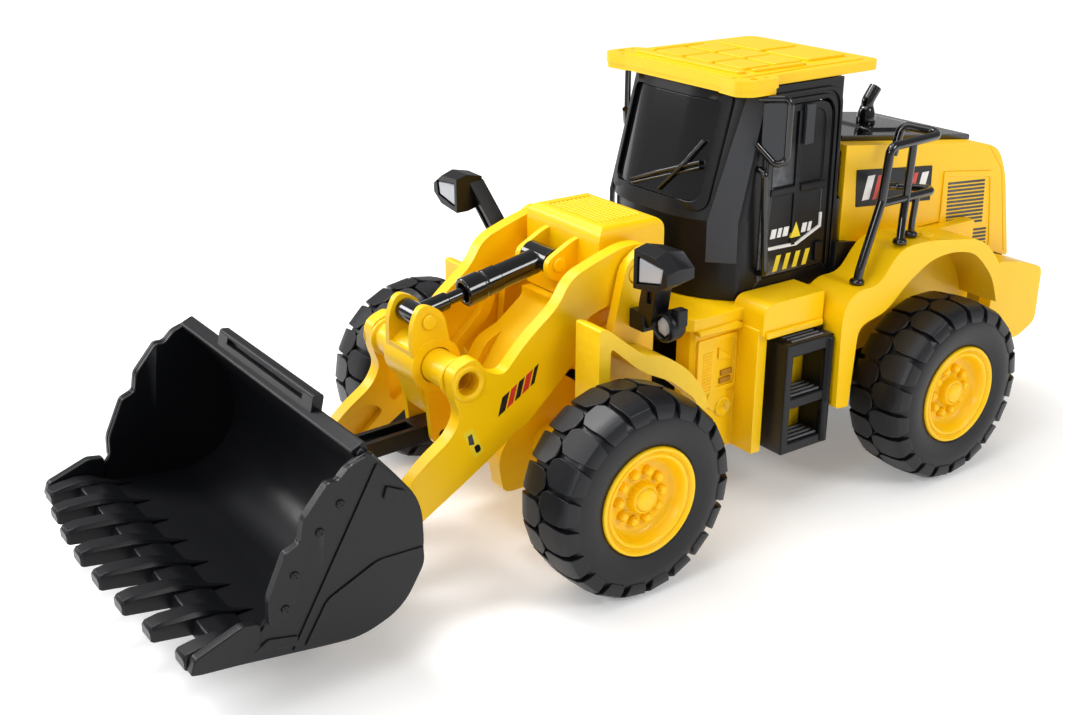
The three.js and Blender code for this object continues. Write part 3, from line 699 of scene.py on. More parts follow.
def row_growth() -> Growth:
    """Repeat a seed along a straight step.

    Returns:
        The tree.
    """
    grow = Growth("row", [("Count", "Int"), ("Step", "Vector")])
    source = grow.source.outputs
    place = grow.node("ShaderNodeVectorMath")
    place.operation = "SCALE"
    grow.set(place, 0, source["Step"])
    grow.set(place, "Scale", grow.node("InputIndex").outputs[0])
    points = grow.node("Points", Count=source["Count"], Position=place.outputs[0])
    copies = grow.node("InstanceOnPoints", Points=points.outputs[0], Instance=source["Geometry"])
    grow.close(copies.outputs[0])
    return grow


def rod_growth() -> Growth:
    """Sweep a round section along a wire with filleted bends, and close its ends.

    Returns:
        The tree.
    """
    grow = Growth("rod", [("Radius", "Float"), ("Bend", "Float")])
    source = grow.source.outputs
    wire = grow.node("MeshToCurve", Mesh=source["Geometry"])
    bent = grow.node("FilletCurve")
    bent.mode = "POLY"
    grow.set(bent, "Curve", wire.outputs[0])
    grow.set(bent, "Radius", source["Bend"])
    grow.set(bent, "Limit Radius", True)
    grow.set(bent, "Count", 6)
    section = grow.node("CurvePrimitiveCircle", Resolution=14, Radius=source["Radius"])
    swept = grow.node("CurveToMesh", Curve=bent.outputs[0], Profile_Curve=section.outputs[0], Fill_Caps=True)
    smooth = grow.node("SetShadeSmooth", Geometry=swept.outputs[0])
    grow.close(smooth.outputs[0])
    return grow


RING = ring_growth()
ROW = row_growth()
ROD = rod_growth()


def rod(name: str, points: Sequence[Point], radius: float, bend: float, finish: Finish) -> bpy.types.Object:
    """Make a bent round bar.

    Args:
        name: the object's name.
        points: the wire's corners, in millimetres.
        radius: the bar's radius.
        bend: radius of its bends.
        finish: its surface.

    Returns:
        The bar.
    """
    mesh = bpy.data.meshes.new(name)
    mesh.from_pydata([[c * MM for c in p] for p in points], [(i, i + 1) for i in range(len(points) - 1)], [])
    return ROD.run(linked(name, mesh), finish, Radius=radius * MM, Bend=bend * MM)


def merged(name: str, pieces: Sequence[bpy.types.Object]) -> bpy.types.Object:
    """Gather several meshes into one object, keeping each one's faces.

    Args:
        name: the new object's name.
        pieces: the meshes, which are used up.

    Returns:
        The object that holds them all.
    """
    work = bmesh.new()
    for piece in pieces:
        work.from_mesh(piece.data)
        bpy.data.objects.remove(piece)
    mesh = bpy.data.meshes.new(name)
    work.to_mesh(mesh)
    work.free()
    return linked(name, mesh)


# ---------------------------------------------------------------- wheels
@dataclass
class Wheel:
    """A soft tyre with two staggered rows of lugs, on a deep-dish rim with moulded nuts."""

    axle: str
    label: str
    side: int
    centre_y: float
    radius: float = 31.0
    width: float = 22.8
    inner: float = 44.6
    height: float = 31.0
    lugs: int = 20
    rim_radius: float = 16.5
    nuts: int = 10
    nut_circle: float = 7.7

    @property
    def centre(self) -> Vector:
        """The wheel's centre at its inner face, in metres."""
        return Vector((self.side * self.inner, self.centre_y, self.height)) * MM

    def at(self, x: float, radius: float, angle: float) -> Vector:
        """Place a point of the wheel before it is moved to its centre.

        Args:
            x: distance outwards from the inner face, in millimetres.
            radius: distance from the axle.
            angle: angle round the axle, in radians.

        Returns:
            The point in metres.
        """
        return Vector((self.side * x, radius * math.sin(angle), radius * math.cos(angle))) * MM

    def crown(self, x: float) -> float:
        """Radius of the lugs' tops at a distance across the tread."""
        half = self.width / 2
        return self.radius - 1.5 * (abs(x - half) / half) ** 3

    def carcass(self) -> bpy.types.Mesh:
        """Make the slice of plain tyre under one pair of lugs.

        Returns:
            The slice's mesh.
        """
        bead = self.rim_radius + 0.1
        flank = [(2.6, bead - 0.3), (1.0, bead + 0.2), (0.9, bead + 1.2), (0.2, 19.6), (0.0, 22.5), (0.2, 25.0),
                 (0.9, 26.4), (1.9, 27.4), (2.7, 28.2), (4.2, 28.9), (6.6, 29.2), (9.0, 29.35)]
        profile = flank + [(self.width - x, r) for x, r in reversed(flank)]
        steps = 4
        pitch = 2 * math.pi / self.lugs
        count = len(profile)
        points = [self.at(x, r, pitch * step / steps) for step in range(steps + 1) for x, r in profile]
        faces = [(k * count + i, k * count + i + 1, (k + 1) * count + i + 1, (k + 1) * count + i)
                 for k in range(steps) for i in range(count - 1)]
        return mesh_from("carcass", points, faces)

    def lug(self, mirror: bool) -> bpy.types.Mesh:
        """Make one lug, from the zig-zag middle of the tread down onto the sidewall.

        Args:
            mirror: True for the lug on the tyre's inner half, half a pitch further on.

        Returns:
            The lug's mesh.
        """
        pitch = 360.0 / self.lugs
        sections = [  # across the tyre, then down its side: top x, top drop, bottom x, bottom radius, start, end
            (10.9, 0.35, 11.4, 28.6, 0.40, 0.56), (11.3, 0.0, 11.7, 28.6, 0.35, 0.80),
            (13.6, 0.0, 13.4, 28.4, 0.07, 0.93), (17.0, 0.0, 16.6, 28.0, 0.05, 0.93),
            (20.0, 0.0, 18.6, 27.4, 0.06, 0.91), (21.9, 0.5, 20.0, 26.6, 0.08, 0.88),
            (22.7, 2.6, 20.6, 25.8, 0.11, 0.85), (22.8, 4.5, 21.6, 24.6, 0.16, 0.80),
        ]
        points, faces = [], []
        for top_x, drop, low_x, low_r, start, end in sections:
            rim = self.crown(min(top_x, 22.0)) - drop
            for x, radius, share in (
                (top_x, rim, start), (top_x, rim, end), (low_x, low_r, end), (low_x, low_r, start),
            ):
                turn = math.radians(pitch * (share + (0.5 if mirror else 0.0)))
                points.append(self.at(self.width - x if mirror else x, radius, turn))
        for k in range(len(sections) - 1):
            a, b = 4 * k, 4 * k + 4
            faces += [(a + i, a + (i + 1) % 4, b + (i + 1) % 4, b + i) for i in range(4)]
        faces += [(0, 1, 2, 3), tuple(len(points) - 4 + i for i in range(4))]
        return mesh_from("lug", points, faces)

    def tyre(self) -> bpy.types.Object:
        """Grow the whole tyre from one slice.

        Returns:
            The tyre.
        """
        lugs = [soften(linked("lug", self.lug(mirror)), 0.22, 2, 30) for mirror in (False, True)]
        slice_mesh = linked("slice", self.carcass())
        slice_mesh.data.shade_smooth()
        seed = merged(f"{self.axle}_tyre_{self.label}_soft", [slice_mesh, *lugs])
        return RING.run(seed, RUBBER, Count=self.lugs, Centre=self.centre)

    def rim(self) -> bpy.types.Object:
        """Turn the rim and grow its ring of nuts.

        Returns:
            The rim with its nuts.
        """
        w = self.width
        profile = [
            (3.0, 0.0), (3.0, 9.0), (2.0, 14.0), (1.6, 16.0), (2.2, 16.55), (w - 0.8, 16.55), (w - 0.35, 16.3),
            (w - 0.2, 15.9), (w - 0.4, 15.5), (w - 1.3, 15.15), (w - 1.6, 14.9), (w - 1.6, 14.6), (w - 1.2, 14.4),
            (w - 0.9, 14.0), (w - 1.0, 13.5), (w - 1.5, 13.1), (w - 3.6, 12.6), (w - 5.0, 11.9), (w - 5.7, 10.9),
            (w - 5.8, 9.9), (w - 5.8, 5.2), (w - 5.5, 4.7), (w - 4.8, 4.5), (w - 2.9, 4.35), (w - 2.5, 4.1),
            (w - 2.4, 3.8), (w - 2.8, 3.6), (w - 2.8, 3.4), (w - 2.0, 3.2), (w - 1.7, 2.9), (w - 1.6, 0.0),
        ]
        start = (self.side * self.inner, self.centre_y, self.height)
        end = (self.side * (self.inner + 1), self.centre_y, self.height)
        body = lathe("rim", start, end, profile, 72)
        body.data.shade_smooth()
        nut = lathe("nut", (0, self.nut_circle, 0), (self.side, self.nut_circle, 0), [
            (w - 6.4, 0.0), (w - 6.4, 1.55), (w - 4.7, 1.5), (w - 4.1, 1.3), (w - 3.75, 0.85), (w - 3.65, 0.0)], 14)
        nut.data.shade_smooth()
        nuts = RING.run(nut, YELLOW, Count=self.nuts, Centre=self.centre)
        return merged(f"{self.axle}_rim_{self.label}_dish", [body, nuts])

    def build(self) -> None:
        """Make the wheel and dress it."""
        body = f"{self.axle}_wheels"
        dress(self.tyre(), RUBBER, body, f"{self.axle}_tyre_{self.label}")
        dress(self.rim(), YELLOW, body, f"{self.axle}_rim_{self.label}")


# ---------------------------------------------------------------- more shapes
def loft(name: str, sections: Sequence[Sequence[Point]]) -> bpy.types.Object:
    """Skin a row of equal outlines into a closed solid.

    Args:
        name: the object's name.
        sections: outlines of (x, y, z) points in millimetres, all of one length.

    Returns:
        The object.
    """
    count = len(sections[0])
    points = [Vector(p) * MM for section in sections for p in section]
    faces = [range(count), range(len(points) - count, len(points))]
    for k in range(len(sections) - 1):
        a, b = k * count, (k + 1) * count
        faces += [(a + i, a + (i + 1) % count, b + (i + 1) % count, b + i) for i in range(count)]
    return linked(name, mesh_from(name, points, faces))


def plate(name: str, side: int, low: float, high: float, corners: Corners, steps: int = 7) -> bpy.types.Object:
    """Make a flat plate in the (y, z) plane on one side, between two distances from the middle."""
    return slab(name, Axis.X, *mirrored(side, low, high), corners, steps)


def pin(name: str, x0: float, x1: float, y: float, z: float, radius: float, turns: int = 32) -> bpy.types.Object:
    """Make a plain round bar across the machine, as a tool or a boss."""
    return lathe(name, (x0, y, z), (x1, y, z), [(0, 0), (0, radius), (abs(x1 - x0), radius), (abs(x1 - x0), 0)], turns)


def boss(side: int, x: float, y: float, z: float, radius: float, height: float) -> bpy.types.Object:
    """Make a low domed screw head that stands on a side face.

    Args:
        side: 1 on the driver's left, -1 on its right.
        x: distance from the middle, in millimetres.
        y: place along the machine.
        z: height.
        radius: radius of the head.
        height: how far it stands out.

    Returns:
        The screw head.
    """
    profile = [(-0.6, 0), (-0.6, radius), (height * 0.5, radius), (height * 0.85, radius * 0.82),
               (height, radius * 0.5), (height * 0.75, radius * 0.42), (height * 0.75, 0)]
    made = lathe("boss", (side * x, y, z), (side * (x + 1), y, z), profile, 18)
    made.data.shade_smooth()
    return made


def ribs(name: str, finish: Finish, seed: bpy.types.Object, count: int, step: Point) -> bpy.types.Object:
    """Repeat a small seed along a step.

    Args:
        name: name of the row.
        finish: its surface.
        seed: the first one, which becomes the row.
        count: how many there are.
        step: from one to the next, in millimetres.

    Returns:
        The row.
    """
    seed.name = name
    return ROW.run(seed, finish, Count=count, Step=Vector(step) * MM)


# ---------------------------------------------------------------- bucket
@dataclass
class Bucket:
    """Rolled sheet between two cheeks with bolted side cutters, and an edge with eight cast teeth."""

    half: float = 57.0
    wall: float = 2.0
    pivot: Point = (-90.0, 25.0)
    link_pin: Point = (-94.0, 36.5)
    teeth: int = 8
    pitch: float = 14.6

    def sheet(self) -> bpy.types.Object:
        """Roll the sheet, which ends behind the noses of the teeth.

        Returns:
            The sheet.
        """
        edge = [
            (-155.5, 19.6), (-127.5, 15.6, 6), (-118, 14.8, 10), (-106, 19, 12), (-99.4, 31, 14), (-100.4, 46, 14),
            (-114.6, 66.6, 0.6), (-116.4, 65.4, 0.6), (-102.8, 46, 14), (-101.8, 31.6, 13), (-108, 21.4, 11),
            (-118.4, 17.4, 9), (-127.5, 18.2, 6), (-155.1, 21.8),
        ]
        return soften(slab("sheet", Axis.X, -self.half + 1, self.half - 1, edge, 12), 0.25)

    def cheek(self, side: int) -> bpy.types.Object:
        """Cut one cheek, with its serrated front.

        Args:
            side: 1 on the driver's left, -1 on its right.

        Returns:
            The cheek.
        """
        edge = [
            (-162, 20.2), (-127.5, 15.4, 3), (-118, 14.4, 10), (-105.6, 18.6, 12), (-98.6, 31, 14), (-99, 48, 10),
            (-106.8, 58.2, 3), (-112.6, 65.2, 1), (-114.4, 65.6, 1), (-119.4, 63.6, 1), (-122.6, 60.6, 1),
            (-125.4, 60.8, 1), (-132.6, 52.6, 1.4), (-133.6, 47, 1), (-137.6, 45.4, 1), (-143, 34, 1.5),
            (-143.2, 28.6, 1), (-145, 26.2, 1),
        ]
        return plate("cheek", side, self.half - self.wall, self.half, edge, 10)

    def lugs(self) -> list[bpy.types.Object]:
        """Cut the lugs that take the boom and the tilt link.

        Returns:
            The lugs.
        """
        made = []
        for _, side in SIDES:
            outer = [(-104, 20), (-90, 19.4, 5), (-84.6, 25, 5), (-90, 31, 5), (-101.6, 40)]
            made += [plate("lug", side, *band, outer) for band in ((18.2, 20.6), (26.4, 28.8))]
            made.append(plate("lug", side, 5, 7.2, [
                (-101, 31), (-92, 31.4, 3), (-90.4, 38, 3), (-91, 44, 3), (-97, 46, 3), (-102.6, 47)]))
        return made

    def shell(self) -> list[bpy.types.Object]:
        """Make the sheet, cheeks, lugs, top bar and spill guard.

        Returns:
            The pieces.
        """
        cheeks = [soften(self.cheek(side), 0.35, 2, 30) for _, side in SIDES]
        top_bar = soften(slab("top_bar", Axis.X, -54.8, 54.8, [
            (-115.2, 62.4, 1), (-112.2, 64.2, 1), (-113.2, 67.8, 1), (-117.6, 65.9, 1)]), 0.3)
        guard = slab("guard", Axis.X, -30, 30, [(-113, 64), (-111.4, 71, 1), (-114.6, 71.4, 1), (-116, 65.6)])
        window = slab("window", Axis.X, -24, 24, [(-113.6, 68.4), (-113.2, 70.2), (-120, 70.4), (-120, 68.4)])
        guard = soften(combine(guard, "DIFFERENCE", window), 0.3)
        y, z = self.link_pin
        lugs = []
        for lug in self.lugs():
            slot = slab("slot", Axis.X, -9, 9, [
                (y - 2, z - 2, 1.4), (y + 2, z - 2, 1.4), (y + 2, z + 5.2, 1.4), (y - 2, z + 5.2, 1.4)])
            lugs.append(soften(combine(lug, "DIFFERENCE", slot, pin("bore", -40, 40, *self.pivot, 2.3)), 0.3))
        return [self.sheet(), *cheeks, top_bar, guard, *lugs]

    def trim(self, side: int) -> list[bpy.types.Object]:
        """Make the side cutter, guard plates and bosses of one cheek.

        Args:
            side: 1 on the driver's left, -1 on its right.

        Returns:
            The pieces.
        """
        x = self.half
        cutter = plate("cutter", side, x - 0.5, x + 1.0, [
            (-114.2, 65.3, 1), (-119.4, 63.7, 1), (-122.6, 60.8, 1), (-125.4, 61.0, 1), (-132.7, 52.7, 1.4),
            (-133.7, 47.1, 1), (-137.7, 45.5, 1), (-143.2, 34, 1.5), (-143.5, 27.4, 1), (-140.6, 26.4, 1),
            (-136.3, 31.8, 1), (-135.5, 35, 1), (-133.6, 41.4, 1), (-132.4, 45.1, 1), (-126, 49.2, 1),
            (-121, 54.4, 1), (-120, 58.6, 1)])
        guard = plate("guard", side, x - 0.4, x + 0.5, [
            (-111.6, 62.4, 1), (-107.0, 57.4, 3), (-99.4, 47.8, 9), (-99.1, 31, 13), (-105.9, 19.1, 12),
            (-118, 15.0, 10), (-127.5, 16.0, 3), (-137.6, 17.4, 1), (-133.0, 25.4, 1)])
        lower = plate("lower_guard", side, x, x + 1.0, [
            (-99.6, 35.2), (-112.8, 35.6, 2), (-127.5, 29.2, 2), (-134.4, 18, 1), (-127.5, 16.4, 3),
            (-118, 15.4, 10), (-106.2, 19.4, 12), (-99.4, 30.6, 8)])
        skid = plate("skid", side, x - 0.4, x + 0.6, [
            (-148, 21.0), (-143.6, 23.4, 0.6), (-135.6, 21.6, 0.6), (-136.4, 18.9)])
        mark = plate("mark", side, x, x + 1.3, [
            (-109.6, 55.6, 0.8), (-104.1, 52.9, 0.8), (-105.1, 49.7, 0.8), (-110.7, 52.3, 0.8)])
        screws = [boss(side, x + 1.0, y, z, 1.15, 0.7)
                  for y, z in ((-122.5, 54.6), (-128.4, 48.6), (-135.8, 39.0), (-138.8, 30.6))]
        return [soften(piece, 0.28, 2, 20) for piece in (cutter, guard, lower, skid, mark)] + screws

    def tooth(self, number: int) -> bpy.types.Object:
        """Cast one tooth: a blunt nose, a hump and a long pointed tail on the floor.

        Args:
            number: counted from 0.

        Returns:
            The tooth.
        """
        x = (number - (self.teeth - 1) / 2) * self.pitch
        bow = 5.6 * (1 - (x / 51.1) ** 2)
        rise = 0.4 * bow
        sections = []
        for y, half, low, high in (
            (-164 - bow, 2.9, 20.7 + rise, 23.4 + rise), (-163.3 - bow, 3.2, 20.3 + rise, 24.3 + rise),
            (-160.0 - bow, 3.2, 19.8 + rise, 24.9 + rise), (-155, 3.1, 19.3 + rise * 0.4, 25.4 + rise * 0.3),
            (-151, 2.9, 20.4, 24.8), (-147.5, 2.2, 20.2, 23.2), (-143, 1.1, 19.4, 21.3), (-138.5, 0.2, 18.9, 19.9),
        ):
            shoulder = low + (high - low) * 0.8
            sections.append([(x - half, y, low), (x - half, y, shoulder), (x - half * 0.72, y, high),
                             (x + half * 0.72, y, high), (x + half, y, shoulder), (x + half, y, low)])
        return soften(loft("tooth", sections), 0.35, 2, 28)

    def edge(self) -> bpy.types.Object:
        """Make the cutting edge with its teeth.

        Returns:
            The edge with its teeth.
        """
        bar = soften(slab("bar", Axis.X, -self.half + 0.4, self.half - 0.4, [
            (-156.6, 20.4), (-155.2, 24.0, 0.6), (-149, 23.2, 2), (-144, 21.0), (-145, 19.6), (-155, 20.0)]), 0.25)
        ends = [soften(plate("corner", side, self.half - 2.6, self.half + 0.4, [
            (-163.8, 20.6, 0.8), (-162.4, 24.6, 1), (-150, 29.2, 1), (-145.2, 28.4, 1), (-146, 18.4),
            (-161, 20.0)]), 0.4) for _, side in SIDES]
        return merged("bucket_edge_teeth", [bar, *ends, *[self.tooth(number) for number in range(self.teeth)]])

    def build(self) -> None:
        """Make the bucket and dress it."""
        trims = [piece for _, side in SIDES for piece in self.trim(side)]
        dress(merged("bucket_shell_rolled", [*self.shell(), *trims]), SATIN_BLACK, "bucket", "bucket_shell")
        dress(self.edge(), SATIN_BLACK, "bucket", "bucket_edge")


# ---------------------------------------------------------------- boom
@dataclass
class Boom:
    """Two curved arms with a cross tube, the bellcrank on it and the tilt cylinder above."""

    inner: float = 21.0
    outer: float = 25.8
    pivot: Point = (-8.0, 84.0)
    eye: Point = (-64.6, 60.9)
    foot: Point = (-90.0, 25.0)
    rod_pin: Point = (-66.5, 74.5)
    ear: Point = (-21.0, 83.5)
    link_pin: Point = (-62.5, 38.0)

    @property
    def outline(self) -> Corners:
        """Edge of an arm in the (y, z) plane.

        Returns:
            Corners in the (y, z) plane.
        """
        return [
            (-96, 25, 6), (-89, 17.4, 5), (-80.2, 22.5), (-62.3, 32.8, 6), (-48, 42, 8), (-45, 43, 3),
            (-25.4, 60.6, 6), (-24, 71.6, 4), (-9.5, 75.8, 6), (1, 77, 7), (1, 90.5, 7), (-8, 92, 8),
            (-17, 89.6, 8), (-29, 85.4, 8), (-33.6, 77.6, 6), (-44.5, 69.6, 6), (-53, 60.6, 6), (-59, 63.6, 3),
            (-62, 68.6, 5), (-70.4, 65.6, 6), (-69.6, 57, 5), (-67.4, 51.6, 4), (-70.6, 45.6, 5), (-80.4, 39.2, 6),
            (-88, 31.6, 6),
        ]

    def arm(self, label: str, side: int) -> None:
        """Cut one arm, with pockets and ribs on its inner face and printed marks outside.

        Args:
            label: which side, for names.
            side: 1 on the driver's left, -1 on its right.
        """
        body = plate("arm", side, self.inner, self.outer, self.outline, 9)
        pockets = [plate("pocket", side, self.inner - 1, self.inner + 2.6, corners) for corners in (
            [(-86, 28, 3), (-80, 35.6, 3), (-72.6, 40.4, 3), (-66.4, 36.6, 3), (-79, 26, 3)],
            [(-63.6, 38.4, 2), (-66, 46, 3), (-63, 52, 3), (-57, 53, 3), (-49, 45.6, 3)],
            [(-52, 55.4, 3), (-44, 65.4, 4), (-30.4, 75, 4), (-29.4, 62.4, 3), (-44.6, 48.6, 3)])]
        holes = [pin("hole", *mirrored(side, 15, 30), y, z, radius)
                 for (y, z), radius in ((self.pivot, 3.3), (self.eye, 3.5), (self.foot, 2.3))]
        combine(body, "DIFFERENCE", *pockets, *holes)
        soften(body, 0.5, 3, 28)
        y, z = self.eye
        lip = lathe("lip", (side * 25.3, y, z), (side * 26.3, y, z), [
            (0, 3.5), (0, 5.6), (0.6, 5.5), (0.95, 5.1), (1.0, 4.4), (0.8, 3.9), (0.2, 3.5), (0, 3.5)], 36)
        lip.data.shade_smooth()
        joined = merged(f"boom_arm_{label}_cast", [body, lip])
        dress(joined, YELLOW, "boom", f"boom_arm_{label}")
        self.marks(label, side)

    def marks(self, label: str, side: int) -> None:
        """Print slanted colour bars and a small yellow tag on the arm's outer face.

        Args:
            label: which side, for names.
            side: 1 on the driver's left, -1 on its right.
        """
        along = Vector((0.86, 0.51))
        bars: dict[str, list[bpy.types.Object]] = {"dark": [], "red": []}
        rise = Vector((1.6, 5.8))
        for kind, low, high in (
            ("dark", 0.0, 3.0), ("red", 3.6, 6.2), ("dark", 6.8, 9.2), ("red", 9.8, 12.6), ("dark", 13.2, 15.0),
        ):
            a, b = (Vector((-55.0, 48.2)) + along * share for share in (low, high))
            bars[kind].append(soften(plate("bar", side, self.outer - 0.3, self.outer + 0.05, [
                a, b, b + rise, a + rise]), 0.04, 1))
        tag = soften(plate(f"arm_tag_{label}", side, self.outer - 0.3, self.outer + 0.05, [
            (-67.0, 46.0, 0.5), (-63.7, 46.9, 0.5), (-59.8, 38.8, 0.5), (-62.9, 37.3, 0.5)]), 0.04, 1)
        dress(tag, YELLOW_PRINT, "boom")
        drop = plate("drop", side, self.outer - 0.3, self.outer + 0.08, [
            (-65.4, 44.8), (-64.0, 45.3), (-63.2, 41.8), (-65.0, 41.9)])
        dot = plate("dot", side, self.outer - 0.3, self.outer + 0.08, [
            (-63.4, 41.2, 0.8), (-61.6, 41.6, 0.8), (-60.9, 39.4, 0.8), (-62.6, 38.6, 0.8)])
        dress(merged(f"arm_dark_print_{label}", [*bars["dark"], drop, dot]), SATIN_BLACK, "boom")
        dress(merged(f"arm_red_print_{label}", bars["red"]), RED_PRINT, "boom")

    def tube(self) -> None:
        """Turn the cross tube, with a collar where it meets each arm."""
        y, z = self.eye
        reach = self.inner - 0.3
        body = lathe("tube", (-reach, y, z), (reach, y, z), [
            (0, 3.5), (0, 6.2), (1.2, 6.2), (1.9, 5.2), (2 * reach - 1.9, 5.2), (2 * reach - 1.2, 6.2),
            (2 * reach, 6.2), (2 * reach, 3.5), (0, 3.5)], 48)
        body.name = "boom_cross_tube_turned"
        dress(soften(body, 0.25, 2, 40), YELLOW, "boom", "boom_cross_tube")

    def crank(self) -> None:
        """Cut the bellcrank's two cheeks and their web."""
        cheeks = [plate("cheek", side, 5.6, 7.8, [
            (-61.5, 77, 3.5), (-69, 80.5, 5), (-72.2, 74, 3), (-72.4, 62, 6), (-67.5, 50, 6), (-66.2, 34.6, 4),
            (-58.6, 34.6, 4), (-58, 42, 5), (-57.4, 58, 6), (-59, 64, 5)], 9) for _, side in SIDES]
        web = slab("web", Axis.X, -6, 6, [(-72.2, 66), (-71.2, 57), (-66.6, 45), (-64.4, 45), (-68.4, 54), (-69.8, 66)])
        y, z = self.eye
        hub = pin("hub", -8.4, 8.4, y, z, 8.2, 48)
        body = combine(web, "UNION", *cheeks, hub)
        combine(body, "DIFFERENCE", pin("bore", -30, 30, y, z, 5.5, 48), pin("bore", -30, 30, *self.rod_pin, 1.8),
                pin("bore", -30, 30, *self.link_pin, 1.6))
        body.name = "bellcrank_cast"
        dress(soften(body, 0.45, 3, 28), YELLOW, "bellcrank", "bellcrank")

    def pins(self) -> None:
        """Turn the two round-headed yellow pins of the tilt cylinder."""
        for node, body, (y, z), reach in (
            ("tilt_rod_pin", "rod_pin", self.rod_pin, 8.9), ("tilt_ear_pin", "barrel", self.ear, 9.6),
        ):
            profile = [(0, 0), (0, 1.7), (0.3, 2.3), (0.9, 2.3), (0.95, 1.5), (2 * reach - 0.95, 1.5),
                       (2 * reach - 0.9, 2.3), (2 * reach - 0.3, 2.3), (2 * reach, 1.7), (2 * reach, 0)]
            made = lathe(f"{node}_turned", (-reach, y, z), (reach, y, z), profile, 32)
            dress(soften(made, 0.12, 2, 30), YELLOW, body, node)

    def cylinder(self) -> None:
        """Turn the tilt cylinder's barrel and rod."""
        ear = (0.0, *self.ear)
        tip = (0.0, *self.rod_pin)
        reach = math.dist(ear, tip)
        length = 29.5
        barrel = lathe("barrel", ear, tip, [
            (3, 0), (3, 3.3), (3.4, 3.9), (length - 12.4, 3.9), (length - 12.2, 4.2), (length - 7.6, 4.2),
            (length - 7.4, 3.9), (length - 6.4, 3.9), (length - 6.1, 4.5), (length - 0.4, 4.5), (length, 4.1),
            (length, 3.3), (length - 0.8, 2.9), (5, 2.9), (5, 0)], 48)
        eye = pin("eye", -6, 6, *self.ear, 4, 40)
        body = combine(barrel, "UNION", eye)
        combine(body, "DIFFERENCE", pin("bore", -7, 7, *self.ear, 1.8))
        body.name = "tilt_barrel_turned"
        dress(soften(body, 0.25, 2, 35), GLOSS_BLACK, "barrel", "tilt_barrel")
        stem = lathe("stem", ear, tip, [
            (reach - 35, 0), (reach - 35, 1.6), (reach - 34.7, 1.9), (reach - 11, 1.9), (reach - 11, 2.5),
            (reach - 10.6, 2.7), (reach - 2, 2.7), (reach - 2, 0)], 40)
        head = pin("head", -5.2, 5.2, *self.rod_pin, 3.6, 40)
        rod_body = combine(stem, "UNION", head)
        combine(rod_body, "DIFFERENCE", pin("bore", -7, 7, *self.rod_pin, 1.8))
        rod_body.name = "tilt_rod_turned"
        dress(soften(rod_body, 0.25, 2, 35), GLOSS_BLACK, "rod", "tilt_rod")

    def build(self) -> None:
        """Make the boom's pieces and dress them."""
        for label, side in SIDES:
            self.arm(label, side)
        self.tube()
        self.crank()
        self.pins()
        self.cylinder()


